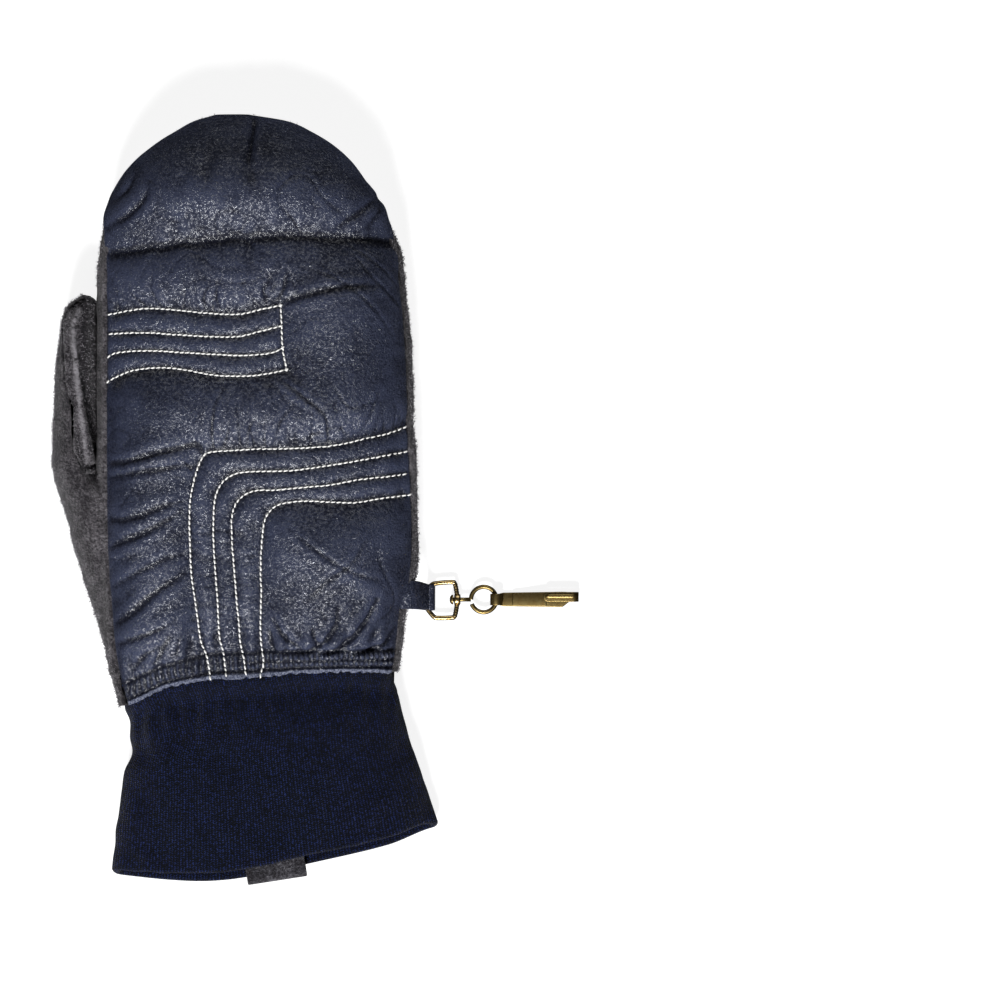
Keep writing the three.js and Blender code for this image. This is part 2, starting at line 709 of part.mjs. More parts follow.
function cuffBox(along) {
  if (along >= CUFF_FREE_FROM) {
    const at = (column) => sample(CUFF_SECTIONS, 'along', column, along);
    return {
      left: -at('left') * HALF_WIDTH,
      right: at('right') * HALF_WIDTH,
      bottom: Math.max(at('bottom'), 0) * CUFF_HEIGHT,
      top: at('top') * CUFF_HEIGHT,
    };
  }
  const inHand = hollowBox(-along * CUFF_LENGTH / HAND_LENGTH);
  return {
    left: inHand.left + CUFF_GAP,
    right: inHand.right - CUFF_GAP,
    bottom: inHand.bottom + CUFF_GAP,
    top: inHand.top - CUFF_GAP,
  };
}

// Y of a point of the cuff; the side that lies underneath reaches a little further.
function cuffY(x, share, along) {
  const atHem = handY(x, 0);
  if (along <= 0) return handY(x, -along * CUFF_LENGTH / HAND_LENGTH);
  const end = HEM_Y - CUFF_LENGTH + mouthShort(x) - MOUTH_STEP * (1 - share);
  return THREE.MathUtils.lerp(atHem, end, along);
}

function cuffForm(wall) {
  const tucked = -CUFF_TUCKED_IN / CUFF_LENGTH;
  const rows = [tucked, tucked / 2, 0, 0.02, 0.12, 0.2, 0.3, 0.4, 0.6, 0.8, 1];
  const places = wall ? [1.4 * tucked, ...rows.slice(1, -1), 1.1] : rows;
  return loft(places.map((along) => {
    const box = cuffBox(Math.min(along, 1));
    const inner = {
      left: box.left + wall,
      right: box.right - wall,
      bottom: box.bottom + wall,
      top: box.top - wall,
    };
    return domedRing(inner, LINING_COLUMNS, (x, share) => cuffY(x, share, along));
  }));
}
const cuff = cuffForm(0).subtract(cuffForm(CUFF_WALL));

// Pull tab: a leather strip folded in two, lying on the inside of the cuff at its mouth.
function pullTab() {
  const thick = 2 * PULL_LEATHER + SEAM_GAP;
  const round = PULL_LEATHER + PULL_LOOP / 2;
  const outline = new THREE.Shape();
  outline.moveTo(PULL_LENGTH, 0);
  outline.lineTo(PULL_LENGTH, thick);
  outline.lineTo(2.4 * round, thick);
  outline.lineTo(round, 2 * round);
  outline.absarc(round, round, round, Math.PI / 2, 1.5 * Math.PI, false);
  outline.holes.push(new THREE.Path().absarc(round, round, PULL_LOOP / 2, 0, 2 * Math.PI, true));
  const strip = new THREE.ExtrudeGeometry(outline, {
    depth: PULL_WIDTH,
    bevelEnabled: false,
    curveSegments: 5,
  });
  strip.translate(-PULL_STANDS_OUT, 0, -PULL_WIDTH / 2);
  const alongY = new THREE.Matrix4().makeBasis(
    new THREE.Vector3(0, 1, 0),
    new THREE.Vector3(0, 0, 1),
    new THREE.Vector3(1, 0, 0),
  );
  return solidOf(strip.applyMatrix4(alongY));
}
const pullX = PULL_ACROSS * HALF_WIDTH;
const pullY = cuffY(pullX, 0, 1);
const pullZ = CUFF_WALL + CUFF_GAP;

// Places of the clip's parts
const clipY = HEM_Y + CLIP_ALONG * HAND_LENGTH;
const clipSide = handBox(CLIP_ALONG);
const barX = clipSide.right + TAB_REACH;
const bossX = barX + EYE_LENGTH - EYE_WIRE;
const nearWireX = bossX + BOSS_LENGTH / 2 + SHANK_LENGTH;
const ringRadius = (RING_DIAMETER - RING_WIRE) / 2;
const ringX = nearWireX + ringRadius;
const knuckleX = ringX + ringRadius;

// A round wire along a flat curve, with its middle line in the plane of the clip.
function flatWire(curve, radius, steps, looped) {
  const count = looped ? steps : steps + 1;
  const rings = Array.from({ length: count }, (_, i) => {
    const at = curve.getPointAt(i / steps);
    const along = curve.getTangentAt(i / steps);
    return Array.from({ length: WIRE_SIDES }, (__, k) => {
      const turn = 2 * Math.PI * (k + 0.5) / WIRE_SIDES;
      const out = radius * Math.cos(turn);
      return new THREE.Vector3(at.x + out * along.y, at.y - out * along.x, radius * Math.sin(turn));
    });
  });
  return loft(rings, looped);
}

// A round bar along X between two places, with its axis through the clip's axis.
function pinAlongX(from, to, diameter, tip = diameter) {
  const pin = new THREE.CylinderGeometry(tip / 2, diameter / 2, to - from, 12);
  return solidOf(pin.rotateZ(-Math.PI / 2).translate((from + to) / 2, 0, 0));
}

// Swivel eye: a cast frame with a boss that the pin passes through.
function swivelEye() {
  const wide = (EYE_WIDTH - EYE_WIRE) / 2;
  const long = EYE_LENGTH - EYE_WIRE;
  const r = EYE_CORNER;
  const path = new THREE.CurvePath();
  const corners = [[0, -wide], [long, -wide], [long, wide], [0, wide]];
  corners.forEach(([x, y], i) => {
    const [px, py] = corners[(i + 3) % 4];
    const [nx, ny] = corners[(i + 1) % 4];
    const enter = new THREE.Vector2(x + r * Math.sign(px - x), y + r * Math.sign(py - y));
    const leave = new THREE.Vector2(x + r * Math.sign(nx - x), y + r * Math.sign(ny - y));
    const [fx, fy] = [px + r * Math.sign(x - px), py + r * Math.sign(y - py)];
    path.add(new THREE.LineCurve(new THREE.Vector2(fx, fy), enter));
    path.add(new THREE.QuadraticBezierCurve(enter, new THREE.Vector2(x, y), leave));
  });
  const boss = pinAlongX(long - BOSS_LENGTH / 2, long + BOSS_LENGTH / 2, BOSS_DIAMETER);
  const bore = pinAlongX(long - BOSS_LENGTH, long + BOSS_LENGTH, PIN_DIAMETER + 2 * PIN_PLAY);
  return flatWire(path, EYE_WIRE / 2, EYE_STEPS, true).add(boss).subtract(bore);
}

// Swivel ring: the wire of a pin that is headed inside the eye and bent round to an open ring.
function swivelRing() {
  const bossInside = bossX - BOSS_LENGTH / 2 - ringX;
  const head = pinAlongX(
    bossInside - PIN_PLAY - RIVET_HEIGHT,
    bossInside - PIN_PLAY,
    RIVET_DIAMETER * 0.6,
    RIVET_DIAMETER,
  );
  const pin = pinAlongX(bossInside - PIN_PLAY - RIVET_HEIGHT / 2, -ringRadius, PIN_DIAMETER);
  const sweep = THREE.MathUtils.degToRad(RING_SWEEP);
  const arc = new THREE.EllipseCurve(0, 0, ringRadius, ringRadius, Math.PI, Math.PI - sweep, true);
  return flatWire(arc, RING_WIRE / 2, RING_STEPS, false).add(pin).add(head);
}

// Sizes of the hook's strip where it is rolled round the ring's wire
const bowOfWire = ringRadius - Math.sqrt(ringRadius ** 2 - (KNUCKLE_WIDTH / 2) ** 2);
const knuckleInner = RING_WIRE / 2 + bowOfWire + KNUCKLE_PLAY;
const knuckleOuter = knuckleInner + STRIP_THICKNESS;
const leafTop = -knuckleInner;
const tipUnderside = leafTop + HOOK_GAP;

// A half or whole band in the plane of X and Z.
function bandShape(x, z, inner, outer, from, to) {
  const shape = new THREE.Shape();
  shape.absarc(x, z, outer, from, to, false);
  shape.absarc(x, z, inner, to, from, true);
  return shape;
}

// Snap hook: a flat strip rolled round the ring, with a narrower arm turned back over it.
function snapHook() {
  const roll = new THREE.Shape().absarc(0, 0, knuckleOuter, 0, 2 * Math.PI, false);
  roll.holes.push(new THREE.Path().absarc(0, 0, knuckleInner, 0, 2 * Math.PI, true));
  const leafEnd = HOOK_LENGTH - HOOK_SHOULDER;
  const half = STRIP_WIDTH / 2;
  const leaf = new THREE.Shape();
  leaf.moveTo(0, -KNUCKLE_WIDTH / 2);
  leaf.lineTo(GATE_ROOT, -half);
  leaf.lineTo(leafEnd - half / 2, -half);
  leaf.quadraticCurveTo(leafEnd, -half, leafEnd, 0);
  leaf.lineTo(leafEnd, half);
  leaf.lineTo(GATE_ROOT, half);
  leaf.lineTo(0, KNUCKLE_WIDTH / 2);
  const plate = new THREE.ExtrudeGeometry(leaf, {
    depth: STRIP_THICKNESS,
    bevelEnabled: false,
    curveSegments: 4,
  });
  const saddle = new THREE.Shape();
  saddle.moveTo(knuckleInner + STRIP_THICKNESS / 4, leafTop - STRIP_THICKNESS / 2);
  saddle.lineTo(GATE_ROOT - GATE_PLAY, leafTop - STRIP_THICKNESS / 2);
  saddle.lineTo(GATE_ROOT - GATE_PLAY, leafTop + STRIP_THICKNESS);
  saddle.lineTo(knuckleOuter + STRIP_THICKNESS, leafTop + STRIP_THICKNESS);
  saddle.lineTo(knuckleOuter - STRIP_THICKNESS / 4, 0);
  saddle.lineTo(knuckleInner + STRIP_THICKNESS / 4, 0);
  const turnRadius = HOOK_GAP / 2 + STRIP_THICKNESS;
  const turnX = HOOK_LENGTH - turnRadius;
  const turnZ = leafTop + HOOK_GAP / 2;
  const turn = bandShape(turnX, turnZ, HOOK_GAP / 2, turnRadius, -Math.PI / 2, Math.PI / 2);
  const tipX = HOOK_LENGTH - HOOK_TIP - turnRadius;
  const armParts = [
    sideExtrude(turn, ARM_WIDTH, ARM_OFFSET),
    block(
      new THREE.Vector3(leafEnd - STRIP_WIDTH, ARM_OFFSET - ARM_WIDTH / 2, leafTop - STRIP_THICKNESS),
      new THREE.Vector3(turnX, ARM_OFFSET + ARM_WIDTH / 2, leafTop),
    ),
    block(
      new THREE.Vector3(tipX, ARM_OFFSET - ARM_WIDTH / 2, tipUnderside),
      new THREE.Vector3(turnX, ARM_OFFSET + ARM_WIDTH / 2, tipUnderside + STRIP_THICKNESS),
    ),
  ];
  const body = sideExtrude(roll, KNUCKLE_WIDTH)
    .add(sideExtrude(saddle, KNUCKLE_WIDTH))
    .add(solidOf(plate.translate(0, 0, leafTop - STRIP_THICKNESS)));
  const bore = sideExtrude(new THREE.Shape().absarc(0, 0, knuckleInner, 0, 2 * Math.PI, false), STRIP_WIDTH);
  return armParts.reduce((sum, part) => sum.add(part), body.subtract(bore));
}

// Gate: the spring leaf that closes the hook's mouth from inside, its root at its own origin.
function hookGate() {
  const reach = HOOK_LENGTH - HOOK_TIP - (HOOK_GAP / 2 + STRIP_THICKNESS) + GATE_LAP - GATE_ROOT;
  const rise = HOOK_GAP - 2 * GATE_PLAY - GATE_THICKNESS;
  const leaf = new THREE.Shape();
  leaf.moveTo(0, 0);
  leaf.lineTo(reach, rise);
  leaf.lineTo(reach, rise + GATE_THICKNESS);
  leaf.lineTo(0, GATE_THICKNESS);
  return sideExtrude(leaf, STRIP_WIDTH - 2 * GATE_PLAY);
}

// Clip tab: from inside the side seam out and down to the eye's bar, which it wraps.
function clipTab(grown = 0) {
  const box = clipSide;
  const seamZ = THREE.MathUtils.lerp(box.bottom, box.top, SEAM_SHARE.right);
  const bar = new THREE.Vector2(barX, AXIS_HEIGHT);
  const route = new THREE.SplineCurve([
    new THREE.Vector2(box.right - TAB_TUCKED_IN, seamZ),
    new THREE.Vector2(box.right, seamZ - 0.06 * TAB_REACH),
    new THREE.Vector2(box.right + 0.33 * TAB_REACH, 0.78 * seamZ),
    new THREE.Vector2(box.right + 0.62 * TAB_REACH, 0.42 * seamZ),
    bar,
  ]);
  const steps = 12;
  const rings = Array.from({ length: steps + 1 }, (_, i) => {
    const at = route.getPoint(i / steps);
    const along = route.getTangent(i / steps);
    const out = new THREE.Vector2(-along.y, along.x).multiplyScalar(TAB_LEATHER + grown);
    const half = THREE.MathUtils.lerp(TAB_ROOT_WIDTH, TAB_BAR_WIDTH, i / steps) / 2 + grown;
    return [[1, -half], [1, half], [-1, half], [-1, -half]].map(
      ([side, y]) => new THREE.Vector3(at.x + side * out.x, clipY + y, at.y + side * out.y),
    );
  });
  const width = TAB_BAR_WIDTH + 2 * grown;
  const inner = EYE_WIRE / 2 + TAB_PLAY;
  const roll = new THREE.Shape().absarc(bar.x, bar.y, inner + TAB_LEATHER + grown, 0, 2 * Math.PI, false);
  const wrapped = loft(rings).add(sideExtrude(roll, width, clipY));
  if (grown) return wrapped;
  const bore = new THREE.Shape().absarc(bar.x, bar.y, inner, 0, 2 * Math.PI, false);
  return wrapped.subtract(sideExtrude(bore, 2 * width, clipY));
}
const roomForTab = clipTab(SEAM_GAP);

const pieces = new THREE.Group();

function addPiece(name, geometry, look, place = [0, 0, 0], turn = 0) {
  const mesh = new THREE.Mesh(geometry, new THREE.MeshStandardMaterial(look));
  mesh.name = name;
  mesh.position.set(...place);
  mesh.rotation.z = THREE.MathUtils.degToRad(turn);
  pieces.add(mesh);
}

const NAVY_LEATHER = { color: '#262a38', roughness: 0.45, metalness: 0 };
const GREY_SUEDE = { color: '#3b393d', roughness: 0.95, metalness: 0 };
const NAVY_KNIT = { color: '#101630', roughness: 0.9, metalness: 0 };
const GREY_TAB = { color: '#33323c', roughness: 0.85, metalness: 0 };
const CAST_BRASS = { color: '#a98c55', roughness: 0.35, metalness: 1 };
const AGED_BRASS = { color: '#85703f', roughness: 0.45, metalness: 1 };

addPiece('back_panel', geometryOf(backPanel.subtract(roomForTab)), NAVY_LEATHER);
addPiece('palm_panel', geometryOf(palmPanel.subtract(roomForTab)), GREY_SUEDE);
addPiece('thumb_gusset', geometryOf(gusset), GREY_SUEDE);
addPiece('knit_cuff', geometryOf(cuff), NAVY_KNIT);
addPiece('pull_tab', geometryOf(pullTab()), GREY_TAB, [pullX, pullY, pullZ], PULL_TURN);
addPiece('clip_tab', geometryOf(clipTab()), NAVY_LEATHER);
addPiece('swivel_eye', geometryOf(swivelEye()), CAST_BRASS, [barX, clipY, AXIS_HEIGHT]);
addPiece('swivel_ring', geometryOf(swivelRing()), AGED_BRASS, [ringX, clipY, AXIS_HEIGHT]);
addPiece('snap_hook', geometryOf(snapHook()), AGED_BRASS, [knuckleX, clipY, AXIS_HEIGHT]);
addPiece('hook_gate', geometryOf(hookGate()), AGED_BRASS, [
  knuckleX + GATE_ROOT,
  clipY,
  AXIS_HEIGHT + leafTop + GATE_PLAY,
]);

export default pieces;
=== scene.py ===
# A padded leather ski mitten for the right hand, lying palm down on a pale floor, with its
# swivel clip. Lengths are in millimetres until a mesh is made; the frame is the CAD model's.

import math

import bmesh
import bpy
import numpy as np
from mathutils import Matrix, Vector
from mathutils.bvhtree import BVHTree


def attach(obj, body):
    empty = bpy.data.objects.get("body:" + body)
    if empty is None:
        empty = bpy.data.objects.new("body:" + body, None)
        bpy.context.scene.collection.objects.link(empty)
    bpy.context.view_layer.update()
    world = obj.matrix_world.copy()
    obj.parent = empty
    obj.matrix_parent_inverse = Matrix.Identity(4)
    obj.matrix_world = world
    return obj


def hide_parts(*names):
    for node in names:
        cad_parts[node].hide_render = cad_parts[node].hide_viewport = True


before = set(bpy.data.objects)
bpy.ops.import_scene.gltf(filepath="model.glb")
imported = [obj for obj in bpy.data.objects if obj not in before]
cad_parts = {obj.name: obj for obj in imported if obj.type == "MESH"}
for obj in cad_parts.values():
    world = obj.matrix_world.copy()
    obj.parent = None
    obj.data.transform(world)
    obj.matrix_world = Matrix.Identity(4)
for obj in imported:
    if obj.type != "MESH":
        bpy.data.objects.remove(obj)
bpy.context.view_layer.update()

bl_info = {
    "name": "Leather ski mitten",
    "version": (1, 0, 0),
    "blender": (4, 5, 0),
    "location": "View3D > Sidebar > Mitten",
    "description": "Builds a padded leather mitten with a knit cuff and a swivel clip",
    "category": "Object",
}

MM = 0.001

# The hand's sections: place along it, left and right as shares of the half width, bottom and
# top as shares of the height.
HAND_SECTIONS = np.array([
    (-0.08, 0.862, 0.866, 0, 0.68),
    (0, 0.866, 0.876, 0, 0.70),
    (0.064, 0.935, 0.907, 0, 0.78),
    (0.121, 0.966, 0.932, 0, 0.85),
    (0.180, 0.985, 0.992, 0, 0.91),
    (0.279, 0.997, 1.0, 0, 0.97),
    (0.363, 1.0, 0.994, 0, 1.0),
    (0.457, 1.0, 0.975, 0, 1.0),
    (0.564, 1.0, 0.963, 0, 0.97),
    (0.641, 1.0, 0.944, 0, 0.94),
    (0.700, 0.998, 0.919, 0, 0.91),
    (0.750, 0.984, 0.900, 0, 0.89),
    (0.789, 0.960, 0.851, 0, 0.88),
    (0.827, 0.938, 0.782, 0, 0.875),
    (0.866, 0.879, 0.689, 0, 0.855),
    (0.909, 0.773, 0.593, 0, 0.79),
    (0.943, 0.636, 0.478, 0.01, 0.69),
    (0.971, 0.499, 0.328, 0.04, 0.56),
    (0.989, 0.394, 0.185, 0.09, 0.44),
    (1, 0.263, -0.045, 0.16, 0.34),
])

# How far the hem hangs below its middle, across the half width, as a share of the length.
HEM_LINE = np.array([
    (-1, 0.062),
    (-0.829, 0.055),
    (-0.686, 0.037),
    (-0.543, 0.018),
    (-0.281, 0.005),
    (0, 0.001),
    (0.25, -0.008),
    (0.67, -0.009),
    (1, 0),
])

# The tuck across the fingers, where the tip laps over the back.
TUCK_LINE = np.array([
    (-0.935, 0.7536),
    (-0.698, 0.7625),
    (-0.095, 0.7804),
    (0.39, 0.7821),
    (0.85, 0.7732),
])

# Thumb sections past the crotch at 0 to the tip at 1: outer and inner as shares of the
# thumb's width from the hand's side, bottom and top as shares of its height.
THUMB_SECTIONS = np.array([
    (-0.97, -0.17, -0.95, 0.08, 0.44),
    (-0.761, 0.10, -0.90, 0, 0.60),
    (-0.578, 0.341, -0.85, 0, 0.72),
    (-0.411, 0.523, -0.75, 0, 0.82),
    (-0.244, 0.705, -0.55, 0, 0.90),
    (-0.089, 0.909, -0.28, 0, 0.96),
    (0, 0.975, -0.02, 0, 0.98),
    (0.061, 1.0, 0.04, 0, 1.0),
    (0.156, 1.0, 0.04, 0, 1.0),
    (0.35, 0.977, 0.04, 0, 1.0),
    (0.506, 0.955, 0.04, 0, 1.0),
    (0.628, 0.932, 0.04, 0, 0.99),
    (0.756, 0.83, 0.04, 0.03, 0.95),
    (0.861, 0.77, 0.05, 0.08, 0.88),
    (0.939, 0.602, 0.08, 0.17, 0.78),
    (0.989, 0.33, 0.13, 0.29, 0.64),
])

# Cuff sections from the hem to the mouth: sides as shares of the hand's half width, bottom
# and top as shares of the cuff's height.
CUFF_SECTIONS = np.array([
    (0.12, 0.80, 0.868, 0.07, 0.98),
    (0.2, 0.804, 0.894, 0.02, 0.99),
    (0.3, 0.786, 0.919, 0, 0.97),
    (0.4, 0.832, 0.944, 0, 0.94),
    (0.6, 0.851, 1.0, 0, 0.88),
    (0.8, 0.882, 1.068, 0, 0.80),
    (1, 0.91, 1.124, 0, 0.72),
])

# How much shorter the cuff is than its full length, across the half width.
MOUTH_LINE = np.array([
    (-1, 0.015),
    (-0.91, 0.005),
    (-0.40, -0.03),
    (-0.10, -0.012),
    (0.32, 0.065),
    (0.81, 0.165),
    (1.05, 0.245),
    (1.2, 0.27),
])

# Rows of stitching on the back, as points of the plan.
STITCH_ROWS = {
    "upper_1": ((-60.1, 43.2), (-43.7, 45.6), (-32.1, 45), (-18.5, 43.6), (-6.1, 43.2), (2.3, 45),
                (10.3, 46.6)),
    "upper_2": ((-59.7, 35.6), (-43.7, 36), (-32.1, 35.2), (-18.5, 34.4), (-6.1, 34.4), (2.3, 36.4),
                (10.3, 38.4)),
    "upper_3": ((-60.1, 25.6), (-55.7, 28), (-41.7, 28.8), (-27.7, 28), (-14.9, 27.2), (-3.7, 26.8),
                (7.5, 28), (11.1, 29.8)),
    "upper_4": ((-60.5, 15.6), (-55.7, 18.4), (-47.7, 21.2), (-36.5, 22), (-27.7, 21.2),
                (-18.5, 19.4), (-13.3, 18.8), (-0.9, 18.8), (7.5, 20), (12.7, 21.2)),
    "upper_end": ((10.3, 46.6), (10.7, 38.4), (11.1, 30), (12.7, 21.2)),
    "lower_1": ((61.1, -0.8), (51.1, -4.4), (43.9, -6), (33.5, -8.4), (22.7, -9.6), (11.9, -10),
                (1.1, -10.2), (-9.3, -10.8), (-15.3, -11.2), (-19.1, -12), (-21.3, -14.8),
                (-23.3, -20.4), (-25.3, -29.2), (-25.9, -38.4), (-25.7, -48.4), (-25.3, -59.2),
                (-24.1, -68.4), (-22.9, -77.6), (-21.7, -86.4), (-19.3, -92.8), (-18.1, -101.2)),
    "lower_2": ((61.5, -10.8), (53.5, -12.4), (40.7, -14.8), (26.3, -17.2), (13.5, -18.8),
                (-2.5, -19.2), (-7.3, -20), (-11.7, -22.4), (-14.1, -25.6), (-15.7, -30),
                (-16.3, -37.6), (-16.3, -48.4), (-15.7, -59.2), (-14.9, -70), (-14.5, -80.4),
                (-14.1, -85.6), (-12.7, -91.2), (-11.7, -100)),
    "lower_3": ((61.1, -19.8), (54.7, -20.8), (40.7, -22.4), (29.9, -24.4), (19.1, -25.4),
                (8.3, -26.4), (1.1, -26.6), (-2.5, -27.6), (-5.9, -30), (-8.1, -33.4),
                (-9.1, -38.4), (-8.9, -48.4), (-8.1, -59.2), (-7.3, -70), (-6.5, -79.2),
                (-6.1, -86.4), (-4.9, -92.8), (-3.7, -101.2)),
    "lower_4": ((60.9, -28.4), (51.1, -29.6), (43.9, -30.8), (39.9, -31.4), (29.9, -31.2),
                (20.7, -30.8), (14.7, -31.2), (9.1, -32.4), (5.5, -35.6), (3.9, -39.2),
                (3.1, -44.8), (2.5, -52), (2.3, -59.2), (2.5, -66.4), (2.3, -73.2), (2.1, -80.4),
                (2.3, -87.6), (3.1, -94.8), (1.9, -100.2)),
}

# The seam between the thumb's outer face and its gusset, and the piped seam on the gusset, as
# places along the thumb and across its width.
GUSSET_LINE = ((0.955, 0.02), (0.945, 0.34), (0.894, 0.57), (0.817, 0.66), (0.544, 0.636),
               (0.35, 0.477), (0.117, 0.455), (0.012, 0.23), (0, -0.05))
PIPING_LINE = ((0.90, 0.36), (0.817, 0.455), (0.628, 0.41), (0.428, 0.34), (0.233, 0.25),
               (0.061, 0.16))

# Creases of the back: points in the plan, then width and depth.
CREASES = (
    (((-59.5, -15.8), (-48.0, -15.2), (-36.0, -11.5), (-22.5, -9.0)), 1.3, 1.5),
    (((-58.0, -22.0), (-46.0, -19.5), (-32.0, -17.6), (-24.5, -17.0)), 1.2, 0.8),
    (((-59.0, -38.4), (-47.0, -37.5), (-36.0, -33.0), (-28.5, -31.0)), 1.4, 1.1),
    (((-59.5, -50.5), (-50.0, -46.5), (-38.0, -40.5), (-29.0, -34.5)), 1.4, 1.0),
    (((-58.0, -66.0), (-48.0, -60.5), (-36.0, -54.0), (-29.0, -52.0)), 1.2, 0.6),
    (((-57.0, -81.2), (-48.0, -75.0), (-38.0, -66.0), (-28.5, -60.0)), 1.5, 1.2),
    (((-55.0, -88.0), (-44.0, -83.5), (-36.0, -80.0), (-31.0, -77.5)), 1.2, 0.9),
    (((9.0, 47.4), (20.0, 50.0), (32.0, 52.2), (45.0, 53.0)), 1.3, 1.2),
    (((-19.5, 46.0), (-20.0, 50.5), (-17.0, 55.0)), 0.9, 0.7),
    (((-14.0, 46.0), (-15.0, 50.0), (-14.5, 55.0)), 0.8, 0.6),
    (((8.0, 47.5), (11.0, 52.0), (12.5, 59.0)), 1.0, 0.9),
    (((5.0, 47.0), (3.5, 52.5), (6.0, 57.0)), 0.8, 0.6),
    (((10.0, 17.5), (18.0, 11.0), (27.0, 3.5), (29.0, -3.5)), 0.8, 0.7),
    (((-17.0, -9.5), (-16.5, -3.0), (-15.0, 7.0), (-12.0, 14.0)), 0.8, 0.6),
    (((8.0, -8.5), (10.0, 0.0), (15.0, 7.0)), 0.7, 0.5),
    (((-3.0, -8.5), (-2.0, -2.0), (1.0, 3.0)), 0.6, 0.4),
    (((41.0, -4.0), (44.0, 4.0), (47.0, 14.0)), 0.7, 0.4),
    (((12.0, -90.0), (20.0, -89.0), (27.0, -84.5), (31.0, -78.0), (31.5, -72.0)), 1.2, 2.0),
    (((22.0, -91.0), (32.0, -87.5), (38.0, -82.0), (43.0, -75.0), (46.0, -69.0)), 1.2, 2.2),
    (((34.0, -91.0), (41.0, -89.5), (49.0, -87.0), (55.0, -81.0)), 1.1, 1.6),
    (((8.0, -78.0), (12.0, -84.0), (18.0, -87.5)), 1.0, 1.2),
    (((22.0, -80.0), (24.0, -86.0), (28.0, -89.0)), 0.9, 1.1),
    (((9.0, -91.5), (7.0, -87.5), (6.0, -82.0)), 0.9, 0.9),
    (((12.5, -92.0), (12.5, -86.0), (13.0, -80.0)), 0.7, 0.6),
    (((20.0, -70.0), (28.0, -62.0), (37.0, -55.0), (42.0, -47.0)), 1.0, 0.6),
    (((14.0, -42.0), (24.0, -50.0), (36.0, -58.0), (48.0, -62.0)), 0.8, 0.5),
    (((-39.0, -93.5), (-36.0, -88.0), (-33.0, -82.0)), 0.9, 0.8),
    (((-31.0, -92.5), (-30.5, -88.0), (-29.5, -84.0)), 0.8, 0.7),
    (((-47.0, -97.0), (-44.0, -92.0), (-37.5, -87.5)), 0.9, 0.8),
    (((-1.5, 125.0), (-1.0, 119.0), (-1.5, 110.0), (-2.5, 103.0)), 1.3, 1.6),
    (((-58.0, 78.0), (-50.0, 82.0), (-43.0, 88.0), (-41.0, 94.0)), 1.3, 1.2),
    (((-56.0, 88.0), (-50.0, 92.0), (-46.0, 100.0)), 1.2, 0.9),
    (((33.0, 78.0), (40.0, 83.0), (46.0, 88.0)), 1.2, 1.0),
    (((44.0, 78.0), (47.0, 84.0), (46.0, 92.0)), 1.0, 0.7),
    (((18.0, 61.0), (30.0, 56.0), (44.0, 44.0), (52.0, 34.0)), 0.6, 0.4),
    (((34.0, 72.0), (46.0, 62.0), (56.0, 52.0)), 0.6, 0.35),
    (((38.0, 66.0), (44.0, 56.0), (58.0, 44.0)), 0.6, 0.35),
)

# Rows whose sewing puckers the leather beside them: row, side of it, spacing, reach and depth.
PUCKERS = (
    ("upper_1", 1, 7.5, 8.0, 0.9),
    ("upper_4", -1, 9.0, 6.0, 0.4),
    ("lower_1", 1, 5.6, 9.0, 1.1),
    ("lower_1", -1, 3.1, 3.0, 0.25),
    ("lower_2", -1, 3.3, 2.6, 0.25),
    ("lower_3", -1, 3.0, 2.6, 0.25),
    ("lower_4", -1, 6.5, 7.0, 0.35),
)

# Padding that stands fuller: place in the plan, reach across and along, and rise.
PADS = (
    (30.0, 44.0, 20.0, 11.0, 2.6),
    (0.0, 62.0, 40.0, 8.0, 0.5),
    (-4.0, 94.0, 36.0, 12.0, 2.8),
    (-12.0, -3.0, 22.0, 9.0, 0.4),
    (30.0, 1.0, 18.0, 8.0, 0.6),
    (-44.0, 4.0, 12.0, 9.0, 0.5),
    (26.0, -52.0, 16.0, 12.0, 0.7),
    (24.0, -78.0, 16.0, 9.0, 0.8),
    (-44.0, -84.0, 10.0, 7.0, 0.7),
)

# The clip, in millimetres: the height of its line, how far the tab's bar stands out, the eye's
# reach and wire, the ring's stand-off and shank, and the radii of the ring, roll and bend.
CLIP_HEIGHT = 2.8
TAB_REACH = 10.5
EYE_REACH = 10.5
EYE_WIRE = 1.9
PIN_STANDS = 1.3
SHANK_LENGTH = 4.2
RING_RADIUS = 5.1
ROLL_RADIUS = 2.098
BEND_RADIUS = 1.9

# The stage, in metres, millimetres of lens and watts; a softbox has a name, place, size, power.
CAMERA_PLACE = (0.0971, -0.0304, 2.515)
CAMERA_LENS = 225
SOFTBOXES = (
    ("window_box", (-0.3, -2.2, 2.0), 0.65, 150),
    ("fill_box", (0.3, 2.1, 1.2), 1.3, 16),
)
FLOOR = 6


def linear(code):
    """Linear colour of an sRGB hex code."""
    parts = [int(code[i:i + 2], 16) / 255 for i in (1, 3, 5)]
    return tuple(c / 12.92 if c <= 0.04045 else ((c + 0.055) / 1.055) ** 2.4 for c in parts)


# Curves and forms

def sample(table, column, places):
    """Values of a column of a table at places along its first column, on smooth curves."""
    keys = table[:, 0]
    values = table[:, column]
    slopes = np.empty_like(values)
    slopes[1:-1] = (values[2:] - values[:-2]) / (keys[2:] - keys[:-2])
    slopes[0] = (values[1] - values[0]) / (keys[1] - keys[0])
    slopes[-1] = (values[-1] - values[-2]) / (keys[-1] - keys[-2])
    at = np.clip(places, keys[0], keys[-1])
    i = np.clip(np.searchsorted(keys, at, side="right") - 1, 0, len(keys) - 2)
    span = keys[i + 1] - keys[i]
    s = (at - keys[i]) / span
    rise = values[i + 1] - values[i]
    bend = (1 - s) * (slopes[i] * span - rise) - s * (slopes[i + 1] * span - rise)
    return values[i] + s * rise + s * (1 - s) * bend


def ease(low, high, value):
    """Smooth step from 0 at low to 1 at high."""
    s = np.clip((value - low) / (high - low), 0, 1)
    return s * s * (3 - 2 * s)


